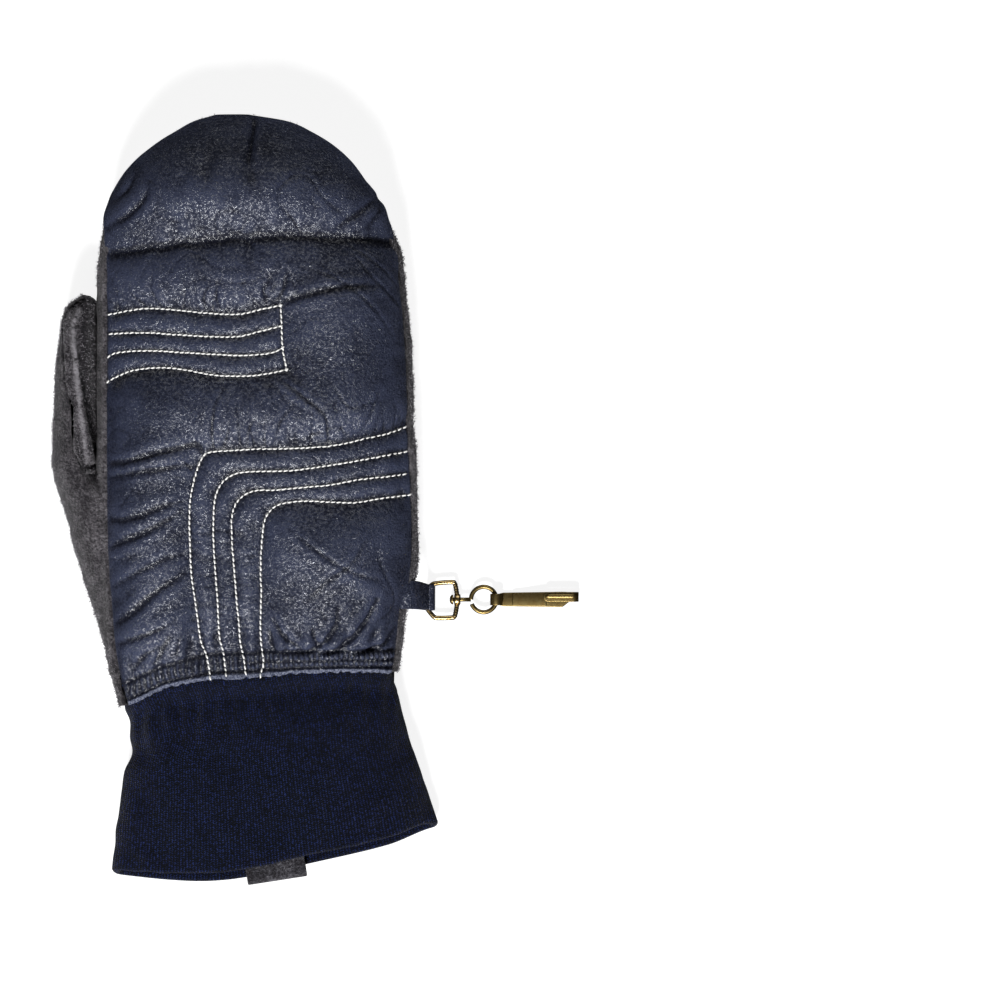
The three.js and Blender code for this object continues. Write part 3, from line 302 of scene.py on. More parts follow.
def bell(distance, width):
    return np.exp(-(distance / width) ** 2)


def lumps(x, y, size, seed):
    """Smooth random rise and fall from -1 to 1 over a plan, with lumps of one size."""
    rng = np.random.default_rng(seed)
    grid = rng.uniform(-1, 1, (64, 64))
    gx = x / size + 17.3
    gy = y / size + 9.1
    ix = np.floor(gx).astype(int)
    iy = np.floor(gy).astype(int)
    fx = gx - ix
    fy = gy - iy
    fx = fx * fx * (3 - 2 * fx)
    fy = fy * fy * (3 - 2 * fy)
    a = grid[ix % 64, iy % 64]
    b = grid[(ix + 1) % 64, iy % 64]
    c = grid[ix % 64, (iy + 1) % 64]
    d = grid[(ix + 1) % 64, (iy + 1) % 64]
    return (a * (1 - fx) + b * fx) * (1 - fy) + (c * (1 - fx) + d * fx) * fy


def smooth_chain(points, step):
    """Evenly spaced points on a smooth curve through points."""
    pts = np.array(points, float)
    chord = np.concatenate([[0], np.cumsum(np.linalg.norm(np.diff(pts, axis=0), axis=1))])
    dense = np.linspace(0, chord[-1], 40 * len(pts))
    columns = [sample(np.column_stack([chord, pts[:, k]]), 1, dense) for k in range(pts.shape[1])]
    curve = np.column_stack(columns)
    run = np.concatenate([[0], np.cumsum(np.linalg.norm(np.diff(curve, axis=0), axis=1))])
    places = np.linspace(0, run[-1], max(2, int(round(run[-1] / step)) + 1))
    return np.column_stack([np.interp(places, run, curve[:, k]) for k in range(pts.shape[1])])


def distance_to(x, y, chain):
    """Distance in the plan from points to a chain of straight stretches, and where along it."""
    nearest = np.full(x.shape, 1e9)
    where = np.zeros(x.shape)
    run = 0.0
    for a, b in zip(chain[:-1], chain[1:]):
        d = b - a
        length = np.hypot(*d)
        s = np.clip(((x - a[0]) * d[0] + (y - a[1]) * d[1]) / length ** 2, 0, 1)
        away = np.hypot(x - a[0] - s * d[0], y - a[1] - s * d[1])
        closer = away < nearest
        nearest = np.where(closer, away, nearest)
        where = np.where(closer, run + s * length, where)
        run += length
    return nearest, where


class Form:
    """The hand's outer form, from the sizes that the user sets."""

    widest_share = 0.36
    top_power = 2.2
    under_power = 4
    seam_left = 0.62
    seam_right = 0.54
    hem_share = 0.45
    crotch_share = 0.3625
    clip_share = 0.1357

    def __init__(self, sizes):
        self.length = sizes.hand_length / MM
        self.half = sizes.hand_width / MM / 2
        self.height = sizes.hand_height / MM
        self.thumb_length = sizes.thumb_length / MM
        self.thumb_width = sizes.thumb_width / MM
        self.thumb_height = sizes.thumb_height / MM
        self.cuff_length = sizes.cuff_length / MM
        self.cuff_height = sizes.cuff_height / MM
        self.hem_y = -self.hem_share * self.length
        self.crotch_y = self.hem_y + self.crotch_share * self.length
        self.clip_y = self.hem_y + self.clip_share * self.length

    def box(self, along):
        """Left, right, bottom and top of the hand's section."""
        return (
            -sample(HAND_SECTIONS, 1, along) * self.half,
            sample(HAND_SECTIONS, 2, along) * self.half,
            np.maximum(sample(HAND_SECTIONS, 3, along), 0) * self.height,
            sample(HAND_SECTIONS, 4, along) * self.height,
        )

    def hem_drop(self, x):
        return sample(HEM_LINE, 1, x / self.half) * self.length

    def y(self, x, along):
        """Y of a point of the hand: straight across, but bent down to the slanted hem."""
        return self.hem_y + along * self.length - (1 - ease(0, 0.14, along)) * self.hem_drop(x)

    def walls(self, along):
        """Thickness of the wall at the sides and on the back."""
        padded = ease(0.0, 0.1, along)
        return 2.2 + 0.8 * padded, 2.2 + 3.3 * padded

    def hollow_box(self, along):
        ahead = ease(0.55, 0.93, along) * 5.5 / self.length
        left, right, bottom, top = self.box(np.minimum(along + ahead, 1))
        side, back = self.walls(along)
        return left + side, right - side, bottom + side, top - back

    def ring(self, box, angle):
        """Points of a domed section, flat where it rests, at angles from the right side."""
        left, right, bottom, top = box
        c = np.cos(angle)
        s = np.sin(angle)
        widest = bottom + self.widest_share * (top - bottom)
        power = np.where(s >= 0, self.top_power, self.under_power)
        x = (left + right) / 2 + (right - left) / 2 * np.sign(c) * np.abs(c) ** (2 / power)
        rise = np.abs(s) ** (2 / power)
        over = widest + (top - widest) * rise
        under = np.maximum(widest - (widest - bottom) * 1.06 * rise, bottom)
        return x, np.where(s >= 0, over, under)

    def thumb_box(self, along, wall=0.0):
        edge = -self.half
        return (
            edge - sample(THUMB_SECTIONS, 1, along) * self.thumb_width + wall,
            edge - sample(THUMB_SECTIONS, 2, along) * self.thumb_width - wall,
            np.maximum(sample(THUMB_SECTIONS, 3, along), 0) * self.thumb_height + wall,
            sample(THUMB_SECTIONS, 4, along) * self.thumb_height - wall,
        )

    def cuff_box(self, along):
        free = (
            -sample(CUFF_SECTIONS, 1, along) * self.half,
            sample(CUFF_SECTIONS, 2, along) * self.half,
            np.maximum(sample(CUFF_SECTIONS, 3, along), 0) * self.cuff_height,
            sample(CUFF_SECTIONS, 4, along) * self.cuff_height,
        )
        hidden = self.hollow_box(np.maximum(-along, 0) * self.cuff_length / self.length)
        gaps = (0.35, -0.35, 0.35, -0.35)
        mix = ease(0.0, 0.12, along)
        return tuple(mix * f + (1 - mix) * (h + g) for f, h, g in zip(free, hidden, gaps))

    def cuff_y(self, x, share, along):
        at_hem = self.y(x, 0)
        short = sample(MOUTH_LINE, 1, x / self.half) * self.cuff_length
        end = self.hem_y - self.cuff_length + short - 4 * (1 - share)
        inside = self.y(x, np.maximum(-along, 0) * self.cuff_length / self.length)
        return np.where(along > 0, at_hem + (end - at_hem) * along, inside)


def uniform_columns(form, box_at, start, end, count):
    """Angles of evenly spaced points round part of a section, for each row's box."""
    box = tuple(np.asarray(part).reshape(-1, 1) for part in box_at)
    start = np.broadcast_to(np.reshape(start, (-1, 1)), box[0].shape)
    end = np.broadcast_to(np.reshape(end, (-1, 1)), box[0].shape)
    dense = start + (end - start) * np.linspace(0, 1, 721)[None, :]
    x, z = form.ring(box, dense)
    run = np.cumsum(np.hypot(np.diff(x, axis=1), np.diff(z, axis=1)), axis=1)
    run = np.concatenate([np.zeros((run.shape[0], 1)), run], axis=1)
    shares = np.linspace(0, 1, count)
    return np.array([np.interp(shares * r[-1], r, d) for r, d in zip(run, dense)])


def grid_normals(points):
    """Unit normals of a grid of points, rows by columns."""
    down = np.gradient(points, axis=0)
    along = np.gradient(points, axis=1)
    normal = np.cross(along, down)
    return normal / np.maximum(np.linalg.norm(normal, axis=2, keepdims=True), 1e-9)


def grid_faces(rows, columns, first=0, looped=False, flip=False):
    """Faces of a grid of points, whose rows join up at their ends where it is looped."""
    r = np.arange(rows - 1)[:, None]
    k = np.arange(columns if looped else columns - 1)[None, :]
    a = first + r * columns + k
    b = first + r * columns + (k + 1) % columns
    faces = np.stack([a, b, b + columns, a + columns], axis=-1).reshape(-1, 4)
    return faces[:, ::-1] if flip else faces


# Meshes

def mesh_piece(name, points, faces, materials, uv=None, values=None, picks=None):
    """A smooth-shaded object from points in millimetres and faces."""
    mesh = bpy.data.meshes.new(name)
    mesh.from_pydata((np.asarray(points) * MM).tolist(), [], [list(map(int, f)) for f in faces])
    for material in materials:
        mesh.materials.append(material)
    if picks is not None:
        mesh.polygons.foreach_set("material_index", np.asarray(picks, dtype=np.int32))
    corner = np.empty(len(mesh.loops), dtype=np.int32)
    mesh.loops.foreach_get("vertex_index", corner)
    if uv is not None:
        layer = mesh.uv_layers.new(name="flat_mm")
        layer.data.foreach_set("uv", np.asarray(uv, dtype=np.float32)[corner].ravel())
    for key, column in (values or {}).items():
        attribute = mesh.attributes.new(key, "FLOAT", "POINT")
        attribute.data.foreach_set("value", np.asarray(column, dtype=np.float32))
    mesh.shade_smooth()
    mesh.validate()
    outward(mesh)
    made = bpy.data.objects.new(name, mesh)
    bpy.context.scene.collection.objects.link(made)
    return made


def outward(mesh):
    """Turns every face of a closed mesh outwards."""
    work = bmesh.new()
    work.from_mesh(mesh)
    bmesh.ops.recalc_face_normals(work, faces=work.faces)
    work.to_mesh(mesh)
    work.free()


def put_together(parts):
    """One list of points and one of faces from several."""
    points = []
    faces = []
    first = 0
    for part_points, part_faces in parts:
        points.append(np.asarray(part_points, float))
        faces.extend([[int(i) + first for i in face] for face in part_faces])
        first += len(part_points)
    return np.concatenate(points), faces


def sweep(centres, frames, outline, looped=False):
    """A closed bar: an outline of (side, up) points carried along centres with their frames.

    Each frame is a pair of unit vectors, side and up; the outline may differ at each centre."""
    rings = []
    for i, (centre, (side, up)) in enumerate(zip(centres, frames)):
        shape = outline(i)
        rings.append(centre + shape[:, :1] * side + shape[:, 1:] * up)
    rings = np.array(rings)
    rows, around = rings.shape[:2]
    points = rings.reshape(-1, 3)
    if looped:
        faces = []
        for r in range(rows):
            low = r * around
            high = (r + 1) % rows * around
            for k in range(around):
                n = (k + 1) % around
                faces.append([low + k, low + n, high + n, high + k])
        return points, faces
    faces = grid_faces(rows, around, looped=True).tolist()
    faces.append(list(range(around))[::-1])
    faces.append([(rows - 1) * around + k for k in range(around)])
    return points, faces


def frames_along(centres, looped=False):
    """Side and up vectors along a run of points, with up kept near Z."""
    if looped:
        ahead = np.roll(centres, -1, axis=0) - np.roll(centres, 1, axis=0)
    else:
        ahead = np.gradient(centres, axis=0)
    ahead /= np.linalg.norm(ahead, axis=1, keepdims=True)
    side = np.cross(ahead, (0.0, 0.0, 1.0))
    side /= np.linalg.norm(side, axis=1, keepdims=True)
    return list(zip(side, np.cross(side, ahead)))


def frames_across(centres):
    """Frames along a run of points that bends in the plane of X and Z, with the sides along Y."""
    ahead = np.gradient(centres, axis=0)
    ahead /= np.linalg.norm(ahead, axis=1, keepdims=True)
    return [(np.array((0, 1.0, 0)), np.cross((0, 1.0, 0), step)) for step in ahead]


def round_outline(radius, sides):
    turn = 2 * np.pi * np.arange(sides) / sides
    return np.column_stack([radius * np.cos(turn), radius * np.sin(turn)])


def strip_outline(width, thick, edge, middle=0.0):
    """Outline of a flat strip with rounded edges."""
    edge = min(edge, thick / 2 * 0.98, width / 2 * 0.98)
    points = []
    for cx, cy, start in ((1, 1, 0), (-1, 1, 90), (-1, -1, 180), (1, -1, 270)):
        for step in (0, 30, 60, 90):
            turn = math.radians(start + step)
            points.append((
                middle + cx * (width / 2 - edge) + edge * math.cos(turn),
                cy * (thick / 2 - edge) + edge * math.sin(turn),
            ))
    return np.array(points)


def lathe(profile, steps=48):
    """A solid turned about X from (x, radius) points that start and end on the axis."""
    profile = np.array(profile, float)
    inner = profile[1:-1]
    turn = 2 * np.pi * np.arange(steps) / steps
    rings = [np.column_stack([
        np.full(steps, x), r * np.cos(turn), r * np.sin(turn),
    ]) for x, r in inner]
    points = np.concatenate(rings + [[(profile[0, 0], 0, 0)], [(profile[-1, 0], 0, 0)]])
    faces = grid_faces(len(inner), steps, looped=True).tolist()
    start = len(inner) * steps
    last = (len(inner) - 1) * steps
    for k in range(steps):
        n = (k + 1) % steps
        faces.append([start, n, k])
        faces.append([start + 1, last + k, last + n])
    return points, faces


# Materials

def add(tree, kind, inputs=None, **settings):
    """Adds a node with its settings, and its inputs as values or as the sockets they come from."""
    made = tree.nodes.new(kind)
    for key, value in settings.items():
        setattr(made, key, value)
    for key, value in (inputs or {}).items():
        if isinstance(value, bpy.types.NodeSocket):
            tree.links.new(value, made.inputs[key])
        else:
            made.inputs[key].default_value = value
    return made


def new_material(name, **settings):
    """A material with its shader's uniform numbers, given by socket name."""
    material = bpy.data.materials.new(name)
    material.use_nodes = True
    shader = material.node_tree.nodes["Principled BSDF"]
    for key, value in settings.items():
        shader.inputs[key.replace("_", " ")].default_value = value
    return material, material.node_tree, shader


def rgba(colour):
    return (*tuple(colour)[:3], 1.0)


def set_stops(ramp, *stops):
    """Gives a colour ramp its stops, as pairs of place and colour."""
    while len(ramp.elements) < len(stops):
        ramp.elements.new(1.0)
    for element, (place, colour) in zip(ramp.elements, stops):
        element.position = place
        element.color = rgba(colour)


def millimetres(tree):
    """Place on the piece in millimetres."""
    place = add(tree, "ShaderNodeTexCoord")
    scaled = add(tree, "ShaderNodeVectorMath", {0: place.outputs["Object"], "Scale": 1000.0},
                 operation="SCALE")
    return scaled.outputs[0]


def full_grain_leather(colours, name="Full_grain_leather", crinkled=0.12):
    """Full-grain cowhide, drum-dyed navy with a thin finish.

    The finish gives broad soft gloss, the grain breaks it into glints about 1 mm across, drawn
    a little coarser than real so that they show. The colour is painted darker in grooves,
    creases and the gathered hem band, as shade, and is lighter where the glints are glossy,
    partly tone of the finish and partly a painted glint. The gloss varies from glint to glint."""
    material, tree, shader = new_material(name, IOR=1.5)
    place = millimetres(tree)
    proud = add(tree, "ShaderNodeAttribute", attribute_name="proud")
    cloud = add(tree, "ShaderNodeTexNoise", {"Vector": place, "Scale": 0.06, "Detail": 5.0})
    # Painted shade: the colour darkens where the surface lies below its surroundings, in grooves,
    # creases and the hem band.
    painted_hollow_shade = add(tree, "ShaderNodeMapRange", {
        "Value": proud.outputs["Fac"], "From Min": -0.45, "From Max": 0.25, "To Min": 0.0,
        "To Max": 1.0})
    blend = add(tree, "ShaderNodeMath", {0: painted_hollow_shade.outputs[0], 1: cloud.outputs["Fac"]},
                operation="MULTIPLY")
    glints = add(tree, "ShaderNodeTexNoise", {"Vector": place, "Scale": 0.9, "Detail": 2.0})
    # The colour is lighter where the glint map makes the finish glossy: partly tone of the finish,
    # partly a painted glint.
    tone = add(tree, "ShaderNodeMath", {0: glints.outputs["Fac"], 1: 0.8, 2: blend.outputs[0]},
               operation="MULTIPLY_ADD")
    colour = add(tree, "ShaderNodeValToRGB", {"Fac": tone.outputs[0]})
    set_stops(colour.color_ramp, (0.45, colours.leather_painted_shade), (0.92, colours.leather))
    tree.links.new(colour.outputs["Color"], shader.inputs["Base Color"])
    pebble = add(tree, "ShaderNodeTexVoronoi", {"Vector": place, "Scale": 1.35},
                 feature="SMOOTH_F1")
    pebble.inputs["Smoothness"].default_value = 0.3
    fine = add(tree, "ShaderNodeTexNoise", {"Vector": place, "Scale": 2.6, "Detail": 3.0})
    crinkle = add(tree, "ShaderNodeTexNoise", {
        "Vector": place, "Scale": 0.3, "Detail": 2.0, "Distortion": 0.6})
    grain = add(tree, "ShaderNodeBump", {
        "Height": pebble.outputs["Distance"], "Strength": 1.0, "Distance": 0.0002}, invert=True)
    pores = add(tree, "ShaderNodeBump", {
        "Height": fine.outputs["Fac"], "Strength": 1.0, "Distance": 0.0003,
        "Normal": grain.outputs[0]})
    creased = add(tree, "ShaderNodeBump", {
        "Height": crinkle.outputs["Fac"], "Strength": crinkled, "Distance": 0.001,
        "Normal": pores.outputs[0]})
    tree.links.new(creased.outputs[0], shader.inputs["Normal"])
    rough = add(tree, "ShaderNodeMapRange", {
        "Value": glints.outputs["Fac"], "From Min": 0.4, "From Max": 0.6, "To Min": 0.4,
        "To Max": 0.25})
    tree.links.new(rough.outputs[0], shader.inputs["Roughness"])
    finish = add(tree, "ShaderNodeMapRange", {
        "Value": glints.outputs["Fac"], "From Min": 0.46, "From Max": 0.6, "To Min": 0.08,
        "To Max": 1.0})
    tree.links.new(finish.outputs[0], shader.inputs["Specular IOR Level"])
    return material


def raw_edge(colours):
    """Cut edge of the leather, its pale fibres frayed and not dyed through."""
    material, tree, shader = new_material(
        "Raw_leather_edge", Roughness=0.95, Specular_IOR_Level=0.1)
    place = millimetres(tree)
    fibres = add(tree, "ShaderNodeTexNoise", {"Vector": place, "Scale": 1.6, "Detail": 4.0})
    colour = add(tree, "ShaderNodeValToRGB", {"Fac": fibres.outputs["Fac"]})
    set_stops(colour.color_ramp, (0.38, colours.leather), (0.6, colours.raw_edge))
    tree.links.new(colour.outputs["Color"], shader.inputs["Base Color"])
    frayed = add(tree, "ShaderNodeBump", {
        "Height": fibres.outputs["Fac"], "Strength": 1.0, "Distance": 0.0006})
    tree.links.new(frayed.outputs[0], shader.inputs["Normal"])
    return material


def sueded_leather(colours, name="Sueded_split_leather"):
    """Split leather, its flesh side sanded to a short nap.

    It has no gloss; the nap scatters light softly at the edges and lies in paler and darker
    patches where it was brushed. Along the thumb's piped seam and rolled edges it is paler, partly
    raised nap and partly a painted highlight, with a painted shade in the groove beside the piping."""
    material, tree, shader = new_material(
        name, Roughness=0.95, Specular_IOR_Level=0.1, Sheen_Weight=0.12, Sheen_Roughness=0.5)
    place = millimetres(tree)
    patches = add(tree, "ShaderNodeTexNoise", {"Vector": place, "Scale": 0.2, "Detail": 4.0})
    nap = add(tree, "ShaderNodeTexNoise", {
        "Vector": place, "Scale": 0.95, "Detail": 3.0, "Roughness": 0.75})
    lying = add(tree, "ShaderNodeMath", {0: patches.outputs["Fac"], 1: 0.35}, operation="MULTIPLY")
    half = add(tree, "ShaderNodeMath", {0: nap.outputs["Fac"], 1: 0.65, 2: lying.outputs[0]},
               operation="MULTIPLY_ADD")
    # Paler on the piped seam and rolled edges, partly raised nap and partly a painted highlight;
    # darker in the groove beside the piping, a painted shade.
    brushed = add(tree, "ShaderNodeAttribute", attribute_name="brushed")
    tone = add(tree, "ShaderNodeMath", {0: brushed.outputs["Fac"], 1: 0.16, 2: half.outputs[0]},
               operation="MULTIPLY_ADD")
    colour = add(tree, "ShaderNodeValToRGB", {"Fac": tone.outputs[0]})
    body = colours.tab if "tab" in name else colours.suede
    set_stops(colour.color_ramp, (0.45, colours.suede_deep), (0.57, body), (0.74, colours.nap))
    tree.links.new(colour.outputs["Color"], shader.inputs["Base Color"])
    fuzz = add(tree, "ShaderNodeBump", {
        "Height": nap.outputs["Fac"], "Strength": 1.0, "Distance": 0.0016})
    tree.links.new(fuzz.outputs[0], shader.inputs["Normal"])
    return material


def raised_nap(colours):
    """Loose fibre ends of the suede, paler than its body because light passes through them."""
    return new_material(
        "Raised_nap", Roughness=1.0, Specular_IOR_Level=0.1, Base_Color=rgba(colours.nap))[0]


def jersey_knit(colours):
    """Fine wool-blend jersey, its wales of V stitches about 1.2 mm wide.

    The yarn is matt with a faint halo; the valleys between the wales are painted nearly black,
    as shade."""
    material, tree, shader = new_material(
        "Wool_jersey_knit", Roughness=0.95, Specular_IOR_Level=0.1, Sheen_Weight=0.05,
        Sheen_Roughness=0.5)
    place = add(tree, "ShaderNodeUVMap", uv_map="flat_mm")
    split = add(tree, "ShaderNodeSeparateXYZ", {0: place.outputs[0]})
    wale = 1.2
    course = 0.9
    across = add(tree, "ShaderNodeMath", {0: split.outputs["X"], 1: wale}, operation="PINGPONG")
    slant = add(tree, "ShaderNodeMath", {0: across.outputs[0], 1: 0.75}, operation="MULTIPLY")
    lifted = add(tree, "ShaderNodeMath", {0: split.outputs["Y"], 1: slant.outputs[0]},
                 operation="ADD")
    turns = add(tree, "ShaderNodeMath", {0: lifted.outputs[0], 1: 2 * math.pi / course},
                operation="MULTIPLY")
    legs = add(tree, "ShaderNodeMath", {0: turns.outputs[0]}, operation="SINE")
    middle = add(tree, "ShaderNodeMath", {0: split.outputs["X"], 1: math.pi / wale},
                 operation="MULTIPLY")
    rib = add(tree, "ShaderNodeMath", {0: middle.outputs[0]}, operation="SINE")
    valley = add(tree, "ShaderNodeMath", {0: rib.outputs[0]}, operation="ABSOLUTE")
    yarn = add(tree, "ShaderNodeTexNoise", {
        "Vector": millimetres(tree), "Scale": 1.2, "Detail": 2.0, "Roughness": 0.6})
    loop = add(tree, "ShaderNodeMath", {0: legs.outputs[0], 1: 0.35, 2: valley.outputs[0]},
               operation="MULTIPLY_ADD")
    height = add(tree, "ShaderNodeMath", {0: loop.outputs[0], 1: 0.3, 2: yarn.outputs["Fac"]},
                 operation="MULTIPLY_ADD")
    # Painted shade: the colour runs to nearly black down in the valleys between the wales.
    colour = add(tree, "ShaderNodeValToRGB", {"Fac": height.outputs[0]})
    set_stops(colour.color_ramp, (0.74, colours.knit_painted_shade), (1.0, colours.knit))
    tree.links.new(colour.outputs["Color"], shader.inputs["Base Color"])
    loops = add(tree, "ShaderNodeBump", {
        "Height": height.outputs[0], "Strength": 1.0, "Distance": 0.0007})
    tree.links.new(loops.outputs[0], shader.inputs["Normal"])
    return material


def brass(name, colour, dull, rough):
    """Brass strip or casting with an aged, tumbled skin.

    Real aged brass stays bright and yellow on its high spots with a brown tarnish in the
    hollows; here the tarnish lies over it in cloudy patches."""
    material, tree, shader = new_material(name, Metallic=1.0)
    place = millimetres(tree)
    cloud = add(tree, "ShaderNodeTexNoise", {"Vector": place, "Scale": 0.7, "Detail": 6.0})
    tint = add(tree, "ShaderNodeValToRGB", {"Fac": cloud.outputs["Fac"]})
    set_stops(tint.color_ramp, (0.3, dull), (0.6, colour))
    tree.links.new(tint.outputs["Color"], shader.inputs["Base Color"])
    fine = add(tree, "ShaderNodeTexNoise", {"Vector": place, "Scale": 6.0, "Detail": 3.0})
    gloss = add(tree, "ShaderNodeMapRange", {
        "Value": fine.outputs["Fac"], "From Min": 0.3, "From Max": 0.7, "To Min": rough - 0.08,
        "To Max": rough + 0.08})
    tree.links.new(gloss.outputs[0], shader.inputs["Roughness"])
    skin = add(tree, "ShaderNodeBump", {
        "Height": fine.outputs["Fac"], "Strength": 0.5, "Distance": 0.00006})
    tree.links.new(skin.outputs[0], shader.inputs["Normal"])
    return material


def cotton_thread(colours):
    """Bonded white sewing thread, twisted from three plies."""
    material, tree, shader = new_material(
        "Bonded_sewing_thread", Roughness=0.6, Base_Color=rgba(colours.thread))
    place = millimetres(tree)
    plies = add(tree, "ShaderNodeTexWave", {"Vector": place, "Scale": 1.4},
                bands_direction="DIAGONAL")
    twist = add(tree, "ShaderNodeBump", {
        "Height": plies.outputs["Fac"], "Strength": 0.4, "Distance": 0.0001})
    tree.links.new(twist.outputs[0], shader.inputs["Normal"])
    return material


def light_table():
    """Sand-blasted white acrylic, lit from below: even and matt, so that only faint shadows show."""
    return new_material(
        "White_acrylic_light_table", Roughness=0.9, Base_Color=rgba(linear("#989898")),
        Emission_Color=(1, 1, 1, 1), Emission_Strength=0.86)[0]


def material_named(name, make, *settings):
    """A material made once and then reused."""
    known = bpy.data.materials.get(name)
    return known or make(*settings)


# Properties

class MittenSizes(bpy.types.PropertyGroup):
    hand_length: bpy.props.FloatProperty(
        name="Hand length", description="From the hem to the fingertip",
        default=0.224, min=0.15, max=0.3, unit="LENGTH")
    hand_width: bpy.props.FloatProperty(
        name="Hand width", description="Across the widest part of the hand",
        default=0.1286, min=0.09, max=0.18, unit="LENGTH")
    hand_height: bpy.props.FloatProperty(
        name="Hand height", description="From the surface to the top of the padding",
        default=0.047, min=0.03, max=0.08, unit="LENGTH")
    thumb_length: bpy.props.FloatProperty(
        name="Thumb length", description="From the crotch to the thumb's tip",
        default=0.072, min=0.05, max=0.1, unit="LENGTH")
    thumb_width: bpy.props.FloatProperty(
        name="Thumb width", description="From the hand's side to the thumb's outer side",
        default=0.0176, min=0.012, max=0.03, unit="LENGTH")
    thumb_height: bpy.props.FloatProperty(
        name="Thumb height", description="From the surface to the top of the thumb",
        default=0.032, min=0.02, max=0.05, unit="LENGTH")
    cuff_length: bpy.props.FloatProperty(
        name="Cuff length", description="From the hem to the cuff's mouth",
        default=0.075, min=0.04, max=0.12, unit="LENGTH")
    cuff_height: bpy.props.FloatProperty(
        name="Cuff height", description="From the surface to the top of the cuff",
        default=0.027, min=0.015, max=0.05, unit="LENGTH")
    stitch_pitch: bpy.props.FloatProperty(
        name="Stitch pitch", description="From one stitch to the next",
        default=0.00216, min=0.001, max=0.005, unit="LENGTH")


class MittenColours(bpy.types.PropertyGroup):
    leather: bpy.props.FloatVectorProperty(
        name="Leather", description="Navy leather where it stands proud",
        subtype="COLOR", size=3, min=0, max=1, default=linear("#33384b"))
    # Colour of the painted shade in grooves, creases and the hem band.
    leather_painted_shade: bpy.props.FloatVectorProperty(
        name="Leather in folds", description="Navy leather down in grooves and creases",
        subtype="COLOR", size=3, min=0, max=1, default=linear("#191b26"))
    raw_edge: bpy.props.FloatVectorProperty(
        name="Raw edge", description="Pale fibres of the leather's cut edge",
        subtype="COLOR", size=3, min=0, max=1, default=linear("#6f7383"))
    suede: bpy.props.FloatVectorProperty(
        name="Suede", description="Grey suede where the nap is brushed up",
        subtype="COLOR", size=3, min=0, max=1, default=linear("#4e4b4f"))
    suede_deep: bpy.props.FloatVectorProperty(
        name="Suede, brushed down", description="Grey suede where the nap lies flat",
        subtype="COLOR", size=3, min=0, max=1, default=linear("#232125"))
    nap: bpy.props.FloatVectorProperty(
        name="Raised nap", description="Loose fibre ends of the suede",
        subtype="COLOR", size=3, min=0, max=1, default=linear("#858287"))
    knit: bpy.props.FloatVectorProperty(
        name="Knit", description="Navy yarn of the cuff",
        subtype="COLOR", size=3, min=0, max=1, default=linear("#1b2753"))
    knit_painted_shade: bpy.props.FloatVectorProperty(
        name="Knit, between wales", description="Shade between the rows of stitches",
        subtype="COLOR", size=3, min=0, max=1, default=linear("#02040c"))
    tab: bpy.props.FloatVectorProperty(
        name="Pull tab", description="Grey suede of the pull tab",
        subtype="COLOR", size=3, min=0, max=1, default=linear("#47464c"))
    thread: bpy.props.FloatVectorProperty(
        name="Thread", description="White sewing thread",
        subtype="COLOR", size=3, min=0, max=1, default=linear("#ecebe8"))
    cast_brass: bpy.props.FloatVectorProperty(
        name="Cast brass", description="Swivel eye",
        subtype="COLOR", size=3, min=0, max=1, default=linear("#bba272"))
    strip_brass: bpy.props.FloatVectorProperty(
        name="Brass strip", description="Hook, gate and ring",
        subtype="COLOR", size=3, min=0, max=1, default=linear("#85744b"))
    tarnish: bpy.props.FloatVectorProperty(
        name="Tarnish", description="Brown skin in the hollows of the brass",
        subtype="COLOR", size=3, min=0, max=1, default=linear("#77623a"))


def settings():
    scene = bpy.context.scene
    return Form(scene.mitten_sizes), scene.mitten_colours


# The padded back

def to_stitching(x, y):
    """Distance in the plan to the nearest row of stitching."""
    nearest = np.full(x.shape, 1e9)
    for row in STITCH_ROWS.values():
        away, _ = distance_to(x, y, smooth_chain(row, 3.0))
        nearest = np.minimum(nearest, away)
    return nearest


def beyond_tuck(form, x, y):
    return y - form.hem_y - sample(TUCK_LINE, 1, x / form.half) * form.length


def blurred(field, times):
    """A grid of values softened along its rows and columns, its borders kept."""
    out = field.copy()
    for _ in range(times):
        out[1:-1] = (out[:-2] + 2 * out[1:-1] + out[2:]) / 4
        out[:, 1:-1] = (out[:, :-2] + 2 * out[:, 1:-1] + out[:, 2:]) / 4
    return out


def resampled(field, rows, columns):
    """A grid of vectors read at fractional rows and columns, on smooth curves."""
    def along_axis(values, places):
        last = len(values) - 1
        i = np.clip(np.floor(places).astype(int), 0, last - 1)
        t = (places - i)[:, None, None]
        a = values[np.clip(i - 1, 0, last)]
        b = values[i]
        c = values[i + 1]
        d = values[np.clip(i + 2, 0, last)]
        return b + 0.5 * t * (c - a + t * (2 * a - 5 * b + 4 * c - d + t * (3 * (b - c) + d - a)))
    tall = along_axis(field, rows)
    return along_axis(tall.transpose(1, 0, 2), columns).transpose(1, 0, 2)


def seam_angles(form, along):
    """Where the seams lie round each section: above the widest place, but low at the tip."""
    low = 1 - 0.93 * ease(0.70, 0.86, along)
    dome = 1 - form.widest_share
    right = math.asin(((form.seam_right - form.widest_share) / dome) ** (form.top_power / 2))
    left = math.asin(((form.seam_left - form.widest_share) / dome) ** (form.top_power / 2))
    return right * low, math.pi - left * low


def back_grid(form, along, columns):
    """Points and normals of the plain back, from seam to seam, at places along the hand."""
    box = form.box(along)
    angle = uniform_columns(form, box, *seam_angles(form, along), columns)
    x, z = form.ring(tuple(part[:, None] for part in box), angle)
    points = np.stack([x, form.y(x, along[:, None]), z], axis=-1)
    normal = grid_normals(points)
    if normal[len(along) // 2, columns // 2, 2] < 0:
        normal = -normal
    return points, normal, angle, box


